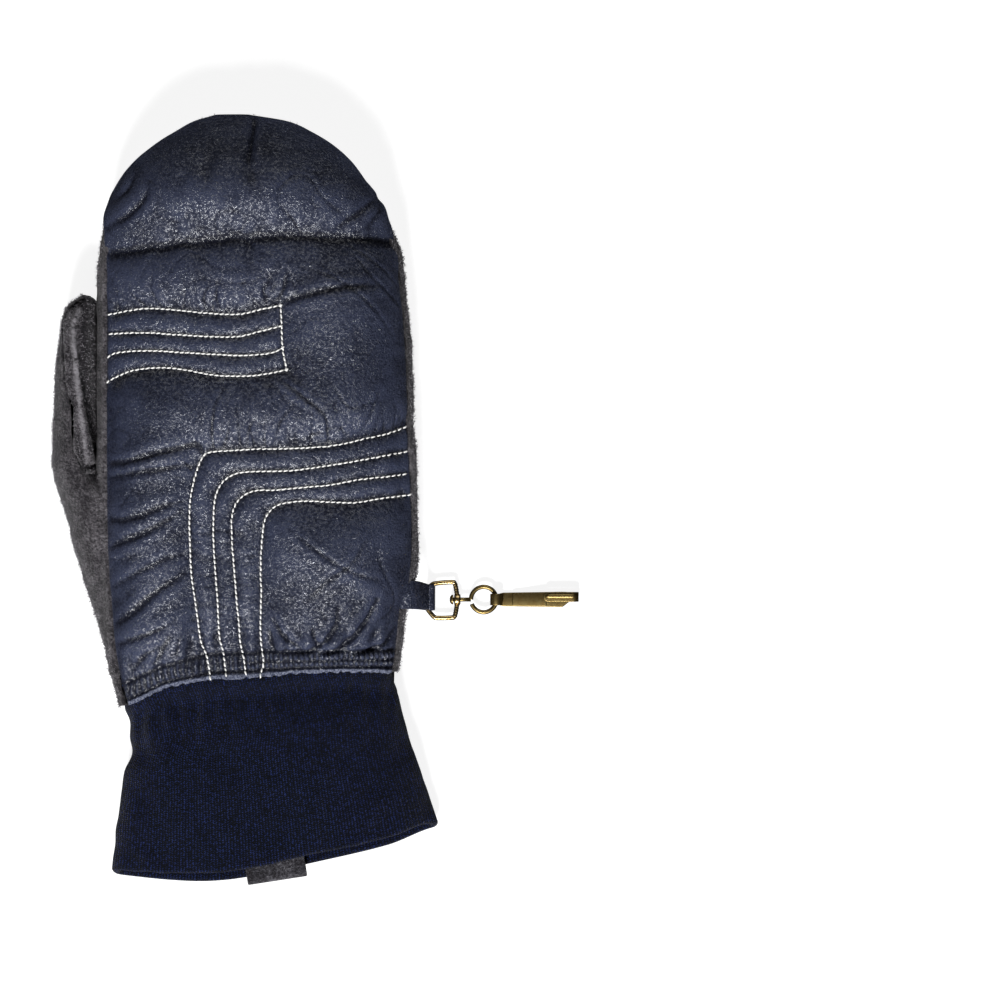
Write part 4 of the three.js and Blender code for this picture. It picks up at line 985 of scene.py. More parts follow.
def swollen(form, rows=150, columns=104):
    """How far the back moves as its padding swells between the sewn rows.

    A cloth simulation of the sewn leather: it is held at the stitches, the seams, the tuck and
    the hem, is a little longer than the lines that hold it, and is pressed out by the padding."""
    along = np.linspace(0, 1, rows)
    plain, normal, _, _ = back_grid(form, along, columns)
    x = plain[..., 0]
    y = plain[..., 1]
    stitched = to_stitching(x, y)
    tuck = np.abs(beyond_tuck(form, x, y))
    k = np.arange(columns)[None, :]
    r = np.arange(rows)[:, None]
    to_side = np.minimum(k, columns - 1 - k) * 1.6 + 0 * x
    to_end = np.minimum(r, rows - 1 - r) * 1.5 + 0 * x
    sunk = -2.4 * np.exp(-stitched / 4) - 2.6 * np.exp(-tuck / 8)
    sunk *= np.clip(to_side / 8, 0, 1)
    sunk += 0.35 * lumps(x, y, 7, 31) * np.clip(to_side / 8, 0, 1)
    start = plain + normal * sunk[..., None]
    held = (stitched < 0.85) | (tuck < 0.8) | (to_side < 1) | (to_end < 1)
    mesh = bpy.data.meshes.new("sewn_leather")
    scale = 0.1
    mesh.from_pydata((start.reshape(-1, 3) * scale).tolist(), [],
                     grid_faces(rows, columns, flip=True).tolist())
    sewn = bpy.data.objects.new("sewn_leather", mesh)
    bpy.context.scene.collection.objects.link(sewn)
    group = sewn.vertex_groups.new(name="held")
    group.add([int(i) for i in np.flatnonzero(held.ravel())], 1.0, "REPLACE")
    spare = sewn.vertex_groups.new(name="spare")
    lower = ease(45, -15, y).ravel()
    for i, share in enumerate(lower):
        spare.add([i], float(share), "REPLACE")
    cloth = sewn.modifiers.new("cloth", "CLOTH")
    cloth.collision_settings.use_collision = False
    cloth.point_cache.frame_start = 1
    cloth.point_cache.frame_end = 40
    kind = cloth.settings
    kind.quality = 6
    kind.mass = 0.02
    kind.tension_stiffness = 30
    kind.compression_stiffness = 30
    kind.shear_stiffness = 20
    kind.bending_stiffness = 110
    kind.tension_damping = 20
    kind.bending_damping = 5
    kind.air_damping = 4
    kind.vertex_group_mass = "held"
    kind.use_pressure = True
    kind.uniform_pressure_force = 4.2
    kind.vertex_group_shrink = "spare"
    kind.shrink_min = -0.008
    kind.shrink_max = -0.045
    kind.effector_weights.gravity = 0
    for step in range(1, 25):
        bpy.context.scene.frame_set(step)
    evaluated = sewn.evaluated_get(bpy.context.evaluated_depsgraph_get())
    flat = np.empty(3 * rows * columns)
    evaluated.data.vertices.foreach_get("co", flat)
    moved_to = flat.reshape(rows, columns, 3) / scale
    bpy.data.objects.remove(sewn)
    bpy.context.scene.frame_set(1)
    push = moved_to - start
    far = np.linalg.norm(push, axis=-1, keepdims=True)
    push *= np.minimum(1, 6.0 / np.maximum(far, 1e-6))
    return start + push - plain


def crossing(chain):
    """X of a row of stitching, rising, and the highest Y that it has there."""
    across = np.linspace(chain[:, 0].min(), chain[:, 0].max(), 120)
    near = np.abs(across[:, None] - chain[None, :, 0]) < 2.5
    return across, np.where(near, chain[None, :, 1], -1e3).max(axis=1)


def fine_relief(form, x, y):
    """Rise and fall too fine for the simulation: stitch grooves, tuck lip, creases, gathers."""
    stitched = to_stitching(x, y)
    near = np.clip(stitched / 2.4, 0, 1)
    grooves = 0.9 * (np.sqrt(np.maximum(1 - (1 - near) ** 2, 0)) - 1)
    beyond = beyond_tuck(form, x, y)
    lip = np.where(
        beyond > 0,
        0.75 * ease(-0.4, 2.0, beyond) * bell(np.maximum(beyond - 2, 0), 15),
        -0.35 * bell(beyond, 2.5),
    )
    creases = np.zeros(x.shape)
    for points, width, depth in CREASES:
        chain = smooth_chain(points, 3.0)
        away, where = distance_to(x, y, chain)
        total = np.linalg.norm(np.diff(chain, axis=0), axis=1).sum()
        fade = np.sin(np.pi * np.clip(where / total, 0.06, 0.94)) ** 0.6
        lips = 0.45 * bell(away - 2.2 * width, 1.8 * width)
        creases += fade * depth * (lips - np.exp(-(away / width) ** 1.4))
    puckers = np.zeros(x.shape)
    for k, (row, side, spacing, reach, depth) in enumerate(PUCKERS):
        chain = smooth_chain(STITCH_ROWS[row], 2.0)
        away, where = distance_to(x, y, chain)
        on_side = np.where(side * (y - np.interp(x, *crossing(chain))) > 0, 1.0, 0.0)
        turn = where / spacing + 0.45 * lumps(x, y, 9, 70 + k)
        valley = (1 - np.abs(np.sin(np.pi * turn))) ** 3
        uneven = 0.6 + 0.6 * lumps(x, y, 15, 80 + k)
        puckers -= depth * uneven * on_side * valley * np.exp(-away / reach) * ease(0.4, 2.0, away)
    pads = np.zeros(x.shape)
    for px, py, wide, tall, rise in PADS:
        pads += rise * np.exp(-((x - px) / wide) ** 2 - ((y - py) / tall) ** 2)
    above = y - form.hem_y + form.hem_drop(x)
    wave = np.cos(x * 0.62 + 1.4 * lumps(x, y, 14, 5)) + 0.5 * np.cos(x * 1.13 + 2.0)
    gathers = 0.6 * wave * bell(above - 13, 7)
    right = ease(-8, 2, x)
    seams = -1.0 * bell(above - 9.8, 0.9) - right * (0.7 * bell(above - 6.1, 0.7))
    seams -= 1.3 * bell(above - 2.9, 0.7)
    bead = np.abs(np.sin((x + 0.3 * lumps(x, y, 4, 6)) * np.pi / 1.9)) ** 0.8 - 0.6
    rows = bell(above - 4.5, 1.3) + bell(above - 7.8, 1.3)
    shirr = np.cos(x * 2.7 + 1.6 * lumps(x, y, 6, 9) + 0.12 * above)
    shirring = right * 1.9 * bead * rows + (1 - right) * 0.55 * shirr * bell(above - 6, 4)
    shirring += 0.4 * np.cos(x * 2.1 + 2 * lumps(x, y, 5, 10)) * bell(above, 1.8)
    shirring += 0.16 * np.maximum(10 - above, 0)
    soft = 0.8 * lumps(x, y, 24, 1) + 0.35 * lumps(x, y, 11, 2)
    calm = ease(0, 5, stitched)
    wrinkles = 0.16 * np.abs(lumps(x + 3 * lumps(x, y, 9, 8), y * 1.9, 5.5, 3)) * calm
    in_columns = ease(-26.5, -25, x) * ease(1.5, 0, x) * ease(-34, -44, y) * ease(-92, -86, y)
    folded = lumps(x + 0.5 * y, y - 0.4 * x, 17, 21)
    where_folded = ease(0.0, 0.5, lumps(x, y, 31, 22)) * calm
    net = 0.5 * np.exp(-(np.abs(folded) / 0.07) ** 1.2) * where_folded
    crossed = lumps(x - 0.7 * y, y + 0.3 * x, 11, 23)
    where_crossed = ease(0.0, 0.5, lumps(x, y, 24, 24)) * calm
    net += 0.3 * np.exp(-(np.abs(crossed) / 0.1) ** 1.2) * where_crossed
    rungs = 0.28 * lumps(x * 0.25, y + 0.06 * x, 1.5, 14) * in_columns
    sewn = grooves + lip + puckers + gathers + seams + shirring + rungs
    return sewn + creases + pads + soft - wrinkles - net


def back_surface(form):
    """Outer and inner points of the padded back, as grids, and how proud each point stands, less
    a painted shade over the hem band; the leather's colour turns low values into painted shade.

    The inner grid has a third of the outer one's rows and columns."""
    columns = 301
    along = np.concatenate([
        np.linspace(0, 0.055, 25, endpoint=False), np.linspace(0.055, 0.93, 225, endpoint=False),
        np.linspace(0.93, 1, 30),
    ])
    plain, normal, angle, box = back_grid(form, along, columns)
    x = plain[..., 0]
    y = plain[..., 1]
    coarse = blurred(swollen(form), 2)
    puff = resampled(coarse, along * (coarse.shape[0] - 1),
                     np.linspace(0, coarse.shape[1] - 1, columns))
    puff *= ease(2, 40, (1 - along) * form.length)[:, None, None]
    run = np.linspace(0, 1, columns)[None, :]
    width = 1.15 * (box[1] - box[0])[:, None]
    from_edge = np.minimum(run, 1 - run) * width
    to_tip = (1 - along[:, None]) * form.length
    fine = fine_relief(form, x, y) * ease(0, 7, from_edge) * ease(0, 5, to_tip)
    lapped = ease(0.72, 0.84, along)[:, None]
    fine += (1 - lapped) * -1.2 * bell(from_edge, 1.6) + lapped * 0.7 * ease(0, 1.5, from_edge)
    outer = plain + puff + normal * fine[..., None]
    proud = ((outer - blurred(outer, 14)) * normal).sum(-1)
    # Painted shade: the gathered hem band counts as lower, so the leather's colour is darker there.
    proud -= 0.5 * bell(y - form.hem_y + form.hem_drop(x) - 5.5, 5)
    wide = tuple(part[:, None] for part in form.hollow_box(along))
    ix, iz = form.ring(wide, angle)
    inner = np.stack([ix, form.y(ix, along[:, None]), iz], axis=-1)
    thick = ((outer - inner) * normal).sum(-1)[..., None]
    inner = np.where(thick < 1.4, outer - normal * 1.4, inner)
    return outer, inner[::3, ::3], proud


def border_of(rows, columns):
    """Indices round the border of a grid."""
    border = list(range(columns))
    border += [r * columns + columns - 1 for r in range(1, rows)]
    border += [(rows - 1) * columns + k for k in range(columns - 2, -1, -1)]
    return border + [r * columns for r in range(rows - 2, 0, -1)]


def shell(outer, inner):
    """Points and faces of a closed wall between a fine grid and one with a third of its steps."""
    rows, columns = outer.shape[:2]
    points = np.concatenate([outer.reshape(-1, 3), inner.reshape(-1, 3)])
    half = rows * columns
    faces = grid_faces(rows, columns).tolist()
    faces += grid_faces(*inner.shape[:2], first=half, flip=True).tolist()
    fine = border_of(rows, columns)
    coarse = border_of(*inner.shape[:2])
    for k, here in enumerate(coarse):
        following = coarse[(k + 1) % len(coarse)]
        a, b, c, d = (fine[(3 * k + step) % len(fine)] for step in range(4))
        faces.append([b, a, here + half])
        faces.append([c, b, here + half, following + half])
        faces.append([d, c, following + half])
    return points, faces


class MITTEN_OT_back(bpy.types.Operator):
    """Build the padded navy leather back, with its quilting, tuck, folds and gathered hem"""

    bl_idname = "mitten.back"
    bl_label = "Padded back"

    def execute(self, context):
        form, colours = settings()
        leather = material_named("Full_grain_leather", full_grain_leather, colours)
        outer, inner, proud = back_surface(form)
        raw = material_named("Raw_leather_edge", raw_edge, colours)
        columns = proud.shape[1]
        frayed = outer[0, :, 0]
        outer[0, :, 1] += 0.5 * lumps(frayed, 0 * frayed, 1.1, 41)
        points, faces = shell(outer, inner)
        # The inner wall gets the lowest value, so the leather's colour gives it the full painted
        # shade.
        values = np.concatenate([proud.ravel(), np.full(len(points) - proud.size, -1.0)])
        picks = np.zeros(len(faces), dtype=int)
        picks[:3 * (columns - 1)] = 1
        made = mesh_piece("padded_back", points, faces, [leather, raw], values={"proud": values},
                          picks=picks)
        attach(made, "mitten")
        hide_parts("back_panel")
        return {"FINISHED"}


def stitch_part(centre, ahead, normal, length, radius):
    """One stitch: a short capsule of thread that dives into the leather at both ends."""
    side = np.cross(normal, ahead)
    rows = 7
    t = np.linspace(-1, 1, rows)
    thick = radius * np.sqrt(np.clip(1 - np.abs(t) ** 3, 0.06, 1))
    arch = -0.30 * np.abs(t) ** 2.5
    rings = []
    turn = 2 * np.pi * np.arange(8) / 8
    for place, r, drop in zip(t, thick, arch):
        middle = centre + ahead * place * length / 2 + normal * drop
        rings.append(middle + r * np.cos(turn)[:, None] * side + r * np.sin(turn)[:, None] * normal)
    points = np.concatenate(rings)
    faces = grid_faces(rows, 8, looped=True).tolist()
    faces.append(list(range(8))[::-1])
    faces.append([(rows - 1) * 8 + k for k in range(8)])
    return points, faces


class MITTEN_OT_stitching(bpy.types.Operator):
    """Sew the white stitch rows into the grooves of the back"""

    bl_idname = "mitten.stitching"
    bl_label = "Stitching"

    def execute(self, context):
        colours = settings()[1]
        pitch = context.scene.mitten_sizes.stitch_pitch / MM
        back = bpy.data.objects["padded_back"]
        tree = BVHTree.FromPolygons(
            [tuple(v.co) for v in back.data.vertices],
            [tuple(p.vertices) for p in back.data.polygons],
        )
        rng = np.random.default_rng(11)
        parts = []
        for row in STITCH_ROWS.values():
            chain = smooth_chain(row, pitch)
            ahead = np.gradient(chain, axis=0)
            for (x, y), (dx, dy) in zip(chain, ahead):
                hit, normal, _, _ = tree.ray_cast(Vector((x * MM, y * MM, 0.2)), Vector((0, 0, -1)))
                if hit is None:
                    continue
                up = np.array(normal)
                up = up if up[2] > 0 else -up
                up = up * 0.35 + np.array((0, 0, 1.0)) * 0.65
                up /= np.linalg.norm(up)
                turn = math.radians(9 + rng.normal(0, 3))
                flat = np.array((
                    dx * math.cos(turn) - dy * math.sin(turn),
                    dx * math.sin(turn) + dy * math.cos(turn),
                    0.0,
                ))
                flat -= up * flat.dot(up)
                flat /= np.linalg.norm(flat)
                centre = np.array(hit) / MM + up * 0.3
                length = 0.96 * pitch * (1 + rng.normal(0, 0.04))
                parts.append(stitch_part(centre, flat, up, length, 0.34))
        points, faces = put_together(parts)
        thread = material_named("Bonded_sewing_thread", cotton_thread, colours)
        made = mesh_piece("stitching", points, faces, [thread])
        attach(made, "mitten")
        return {"FINISHED"}


# Suede palm and thumb

def guide_surfaces(form):
    """A search tree over the smooth forms of the hand, the thumb and their hollows."""
    parts = []
    along = np.linspace(-0.02, 1, 160)
    for box in (form.box, form.hollow_box):
        angle = uniform_columns(form, box(along), 0, 2 * math.pi, 161)[:, :-1]
        x, z = form.ring(tuple(part[:, None] for part in box(along)), angle)
        y = form.y(x, along[:, None])
        parts.append((np.stack([x, y, z], -1).reshape(-1, 3), grid_faces(160, 160, looped=True)))
    along = np.linspace(-0.97, 0.989, 90)
    for wall in (0.0, 3.0):
        box = form.thumb_box(along, wall)
        angle = uniform_columns(form, box, 0, 2 * math.pi, 81)[:, :-1]
        x, z = form.ring(tuple(part[:, None] for part in box), angle)
        y = form.crotch_y + along[:, None] * form.thumb_length + 0 * x
        parts.append((np.stack([x, y, z], -1).reshape(-1, 3), grid_faces(90, 80, looped=True)))
    points, faces = put_together(parts)
    return BVHTree.FromPolygons((points * MM).tolist(), faces)


def thumb_lines(form, points):
    """Distance in the plan to the gusset's seam and to the piped seam, and whether on top."""
    x = points[:, 0]
    y = points[:, 1]
    away = []
    for line in (GUSSET_LINE, PIPING_LINE):
        chain = smooth_chain([
            (-form.half - across * form.thumb_width, form.crotch_y + along * form.thumb_length)
            for along, across in line
        ], 2.0)
        away.append(distance_to(x, y, chain)[0])
    on_top = ease(0.4, 0.6, points[:, 2] / form.thumb_height) * ease(0.3, 1.2, -form.half - x)
    return *away, on_top


def thumb_relief(form, points):
    """Rise and fall of the thumb: rolled edges at the gusset's seam, and the piped seam."""
    seam, piping, on_top = thumb_lines(form, points)
    rise = 0.4 * bell(seam, 2.2) + 1.6 * bell(piping, 0.9) - 0.8 * bell(piping - 2.2, 1.1)
    x = points[:, 0]
    y = points[:, 1]
    return on_top * rise + 0.25 * lumps(x, y, 3.1, 51) + 0.3 * lumps(x, y, 8.0, 52)


def mark_nap_and_painted_light(form, made):
    """Marks of the suede's tone: paler on the piped seam and rolled edges, partly raised nap and
    partly a painted highlight, painted shade in the groove beside the piping, and paler on the
    upper part of the side strip.
    """
    count = len(made.data.vertices)
    points = np.empty(3 * count)
    made.data.vertices.foreach_get("co", points)
    points = points.reshape(-1, 3) / MM
    seam, piping, on_top = thumb_lines(form, points)
    strip = ease(0.45, 0.6, points[:, 2] / form.height) * ease(3.0, 0.0, -form.half - points[:, 0])
    value = on_top * (1.7 * bell(piping, 1.1) + 0.2 * bell(seam, 2.0)) + 0.3 * strip
    # Painted shade in the groove beside the piping, on its side toward the hand.
    value -= 0.5 * on_top * bell(piping - 3.0, 1.8) * (points[:, 0] > -form.half - 5)
    attribute = made.data.attributes.new("brushed", "FLOAT", "POINT")
    attribute.data.foreach_set("value", value.astype(np.float32))


def softened_copy(node, name, voxel, material, guide, relief, reach=1.4, rounds=4):
    """A copy of a CAD solid, remeshed, laid on the smooth forms, softened and given its relief."""
    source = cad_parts[node]
    source = bpy.data.objects[source] if isinstance(source, str) else source
    mesh = source.data.copy()
    mesh.transform(source.matrix_world)
    mesh.materials.clear()
    mesh.materials.append(material)
    made = bpy.data.objects.new(name, mesh)
    bpy.context.scene.collection.objects.link(made)
    remesh = made.modifiers.new("remesh", "REMESH")
    remesh.mode = "VOXEL"
    remesh.voxel_size = voxel * MM
    evaluated = made.evaluated_get(bpy.context.evaluated_depsgraph_get())
    fine = bpy.data.meshes.new_from_object(evaluated)
    made.modifiers.clear()
    made.data = fine
    work = bmesh.new()
    work.from_mesh(fine)
    bmesh.ops.smooth_vert(work, verts=work.verts, factor=0.5, use_axis_x=True, use_axis_y=True,
                          use_axis_z=True)
    for _ in range(rounds):
        for vert in work.verts:
            found, _, _, away = guide.find_nearest(vert.co, 2 * reach * MM)
            if found is not None:
                pull = 1 - float(ease(0.6 * reach * MM, reach * MM, away))
                vert.co = vert.co.lerp(found, pull)
        bmesh.ops.smooth_vert(work, verts=work.verts, factor=0.4, use_axis_x=True,
                              use_axis_y=True, use_axis_z=True)
    work.normal_update()
    points = np.array([vert.co for vert in work.verts]) / MM
    for vert, rise in zip(work.verts, relief(points)):
        moved_to = vert.co + vert.normal * float(rise) * MM
        vert.co = (moved_to.x, moved_to.y, max(moved_to.z, 0.0))
    work.to_mesh(fine)
    work.free()
    fine.shade_smooth()
    return made


def towards_hand(form, points):
    """How far the gusset swells on the side that leans on the hand."""
    along = (points[:, 1] - form.crotch_y) / form.thumb_length
    left, right, _, _ = form.thumb_box(along)
    return 1.5 * ease(0.6, 0.85, (points[:, 0] - left) / (right - left))


def outside(form, at):
    """Whether points lie on the outer side of the hand or thumb, not in its hollow."""
    along = (at[:, 1] - form.hem_y) / form.length
    left, right, _, _ = form.hollow_box(along)
    thumb_left = form.thumb_box((at[:, 1] - form.crotch_y) / form.thumb_length, 1.5)[0]
    by_thumb = (at[:, 1] > form.crotch_y - 70) & (at[:, 1] < form.crotch_y + 74)
    on_hand = (at[:, 0] < left - 1.5) | (at[:, 0] > right + 1.5) | (at[:, 2] < 1.0)
    return np.where(by_thumb & (at[:, 0] < 0), at[:, 0] < np.minimum(thumb_left, left - 1.5), on_hand)


def nap(name, source, count, seed, colour, where):
    """Short fibres standing out of suede, each a slim closed spike."""
    mesh = source.data
    rng = np.random.default_rng(seed)
    centres = np.empty(3 * len(mesh.polygons))
    mesh.polygons.foreach_get("center", centres)
    centres = centres.reshape(-1, 3) / MM
    normals = np.empty(3 * len(mesh.polygons))
    mesh.polygons.foreach_get("normal", normals)
    normals = normals.reshape(-1, 3)
    chosen = np.flatnonzero(where(centres, normals))
    chosen = rng.choice(chosen, count)
    base = centres[chosen] + rng.normal(0, 0.3, (count, 3))
    lean = normals[chosen] * 0.5 + rng.normal(0, 0.65, (count, 3))
    lean /= np.linalg.norm(lean, axis=1, keepdims=True)
    side = np.cross(lean, rng.normal(0, 1, (count, 3)))
    side /= np.linalg.norm(side, axis=1, keepdims=True)
    other = np.cross(lean, side)
    length = rng.uniform(0.4, 1.2, (count, 1))
    base = base - lean * 0.5
    tips = base + lean * (length + 0.5)
    wide = 0.15
    corners = [base + wide * (math.cos(t) * side + math.sin(t) * other) for t in (0, 2.094, 4.189)]
    points = np.stack([*corners, tips], axis=1).reshape(-1, 3)
    points[:, 2] = np.maximum(points[:, 2], 0.0)
    first = 4 * np.arange(count)[:, None]
    faces = np.concatenate([first + np.array(f) for f in ((0, 2, 1), (0, 1, 3), (1, 2, 3), (2, 0, 3))])
    made = mesh_piece(name, points, faces, [colour])
    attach(made, "mitten")
    return made


class MITTEN_OT_palm(bpy.types.Operator):
    """Build the grey suede palm with the thumb's outer face, and the thumb's gusset"""

    bl_idname = "mitten.palm"
    bl_label = "Suede palm and thumb"

    def execute(self, context):
        form, colours = settings()
        suede = material_named("Sueded_split_leather", sueded_leather, colours)
        guide = guide_surfaces(form)

        def relief(points):
            return thumb_relief(form, points)

        palm = softened_copy("palm_panel", "suede_palm", 1.15, suede, guide, relief)
        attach(palm, "mitten")
        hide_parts("palm_panel")
        gusset = softened_copy("thumb_gusset", "suede_gusset", 0.6, suede, guide,
                               lambda points: relief(points) + towards_hand(form, points), 0.8, 2)
        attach(gusset, "mitten")
        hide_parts("thumb_gusset")
        for piece in (palm, gusset):
            mark_nap_and_painted_light(form, piece)
        fibres = material_named("Raised_nap", raised_nap, colours)
        nap("palm_nap", palm, 9000, 61, fibres,
            lambda at, up: (up[:, 2] > -0.4) & outside(form, at))
        nap("gusset_nap", gusset, 1500, 62, fibres, lambda at, up: up[:, 2] > 0.2)
        return {"FINISHED"}


# Knit cuff

class MITTEN_OT_cuff(bpy.types.Operator):
    """Knit the flared jersey cuff, open at its mouth"""

    bl_idname = "mitten.cuff"
    bl_label = "Knit cuff"

    def execute(self, context):
        form, colours = settings()
        knit = material_named("Wool_jersey_knit", jersey_knit, colours)
        columns = 260
        tucked = -14 / form.cuff_length
        along = np.linspace(tucked, 1, 110)
        box = form.cuff_box(along)
        angle = uniform_columns(form, box, -0.5 * math.pi, 1.5 * math.pi, columns + 1)[:, :-1]
        wide = tuple(part[:, None] for part in box)
        x, z = form.ring(wide, angle)
        share = (z - wide[2]) / (wide[3] - wide[2])
        y = form.cuff_y(x, share, along[:, None])
        outer = np.stack([x, y, z], -1)
        normal = grid_normals(outer)
        middle = outer.mean(axis=1, keepdims=True)
        if ((outer - middle) * normal).sum() < 0:
            normal = -normal
        free = ease(0.0, 0.16, along)[:, None]
        run = np.linspace(0, 1, columns, endpoint=False)[None, :]
        up = ease(0.15, 0.5, share)
        fold = 1.1 * lumps(x, y * 0.4, 12, 21) + 0.5 * lumps(x, y, 6, 22)
        gather = 0.7 * np.cos(x * 0.9 + lumps(x, y, 10, 23)) * bell(along[:, None] - 0.05, 0.2)
        outer = outer + normal * (up * free * (fold + gather))[..., None]
        inner_normal = grid_normals(outer)
        if ((outer - middle) * inner_normal).sum() < 0:
            inner_normal = -inner_normal
        inner = outer - 3.5 * inner_normal
        inner[..., 2] = np.maximum(inner[..., 2], 3.2)
        rows = [outer]
        lip = np.linspace(0, math.pi, 9)[1:-1]
        last_out = outer[-1]
        last_in = inner[-1]
        ahead = outer[-1] - outer[-2]
        ahead /= np.linalg.norm(ahead, axis=1, keepdims=True)
        centre = (last_out + last_in) / 2
        half = (last_out - last_in) / 2
        for turn in lip:
            rows.append((centre + half * math.cos(turn) + 1.6 * ahead * math.sin(turn))[None])
        rows.append(inner[::-1][:72])
        grid = np.concatenate(rows)
        count = len(grid)
        points = grid.reshape(-1, 3)
        faces = grid_faces(count, columns, looped=True).tolist()
        last = (count - 1) * columns
        for k in range(columns):
            n = (k + 1) % columns
            faces.append([n, k, last + k, last + n])
        around = 2 * (wide[1] - wide[0]).mean() + 40
        u = np.broadcast_to(run * round(around / 2.4) * 2.4, (count, columns))
        steps = np.linalg.norm(np.diff(grid[:, columns // 2], axis=0), axis=1)
        lengths = np.concatenate([[0], np.cumsum(steps)])
        v = np.broadcast_to(lengths[:, None], (count, columns))
        uv = np.stack([u, v], -1).reshape(-1, 2)
        made = mesh_piece("jersey_cuff", points, faces, [knit], uv=uv)
        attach(made, "mitten")
        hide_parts("knit_cuff")
        return {"FINISHED"}


# Tabs

class MITTEN_OT_tabs(bpy.types.Operator):
    """Fold the pull tab in the cuff's mouth and the clip tab round the eye's bar"""

    bl_idname = "mitten.tabs"
    bl_label = "Leather tabs"

    def execute(self, context):
        form, colours = settings()
        leather = material_named("Crinkled_tab_leather", full_grain_leather, colours,
                                 "Crinkled_tab_leather", 1.0)
        suede = material_named("Sueded_tab_leather", sueded_leather, colours, "Sueded_tab_leather")
        pull_x = 0.11 * form.half
        pull_y = float(form.cuff_y(np.array(pull_x), np.array(0.0), np.array(1.0)))
        loop = smooth_chain((
            (10.6, 0.75), (6, 0.75), (1.5, 0.8), (-3.4, 0.95), (-4.6, 2.1), (-3.4, 3.25),
            (0.2, 2.9), (5, 2.35), (10.6, 2.3),
        ), 0.4)
        centres = np.column_stack([np.zeros(len(loop)), loop[:, 0], loop[:, 1]])
        frames = []
        ahead = np.gradient(centres, axis=0)
        for step in ahead:
            step = step / np.linalg.norm(step)
            frames.append((np.array((1.0, 0, 0)), np.cross(step, (1.0, 0, 0))))
        points, faces = sweep(centres, frames, lambda i: strip_outline(24, 1.35, 0.5))
        turn = math.radians(8.8)
        spin = np.array([
            [math.cos(turn), -math.sin(turn), 0], [math.sin(turn), math.cos(turn), 0], [0, 0, 1]])
        points = points @ spin.T + np.array((pull_x, pull_y, 3.85))
        pull = mesh_piece("pull_loop", points, faces, [suede])
        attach(pull, "mitten")
        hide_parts("pull_tab")
        _, side, low, high = (float(part) for part in form.box(np.array(form.clip_share)))
        seam = low + form.seam_right * (high - low)
        bar_x = side + 7.6
        parts = []
        for lift in (0.66, -0.66):
            route = smooth_chain((
                (side - 4, seam + lift), (side, seam - 0.6 + lift),
                (side + 3.5, 0.78 * seam + 1.2 * lift), (side + 5.5, 0.48 * seam + 1.25 * lift),
                (bar_x - 0.4, CLIP_HEIGHT + 1.9 * np.sign(lift)),
            ), 0.5)
            if lift > 0:
                turns = np.linspace(0.1, 3.0, 16)
                arc = [(bar_x + 1.95 * math.sin(t), CLIP_HEIGHT + 1.95 * math.cos(t)) for t in turns]
                route = np.concatenate([route, arc])
            run = np.linspace(0, 1, len(route))
            centres = np.column_stack([route[:, 0], np.full(len(route), form.clip_y), route[:, 1]])
            frames = frames_across(centres)
            widths = np.interp(run, (0, 0.75, 1), (11.8, 10.4, 10.2))
            centres[:, 1] += np.interp(run, (0, 0.75, 1), (2.6, 1.0, 0.6))
            centres[:, 2] += 0.25 * np.sin(run * 9.0)
            parts.append(sweep(centres, frames, lambda i: strip_outline(widths[i], 1.28, 0.45)))
        points, faces = put_together(parts)
        points[:, 2] = np.maximum(points[:, 2], 0.25)
        tab = mesh_piece("clip_strap", points, faces, [leather])
        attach(tab, "mitten")
        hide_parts("clip_tab")
        return {"FINISHED"}


# Brass clip

def clip_places(form):
    """Places of the clip's parts along X, and its line in Y and Z."""
    side = float(form.box(np.array(form.clip_share))[1])
    bar = side + TAB_REACH
    boss = bar + EYE_REACH - EYE_WIRE
    ring = boss + PIN_STANDS + SHANK_LENGTH + RING_RADIUS
    return {
        "bar": bar, "boss": boss, "ring": ring, "knuckle": ring + RING_RADIUS,
        "y": form.clip_y, "z": CLIP_HEIGHT,
    }


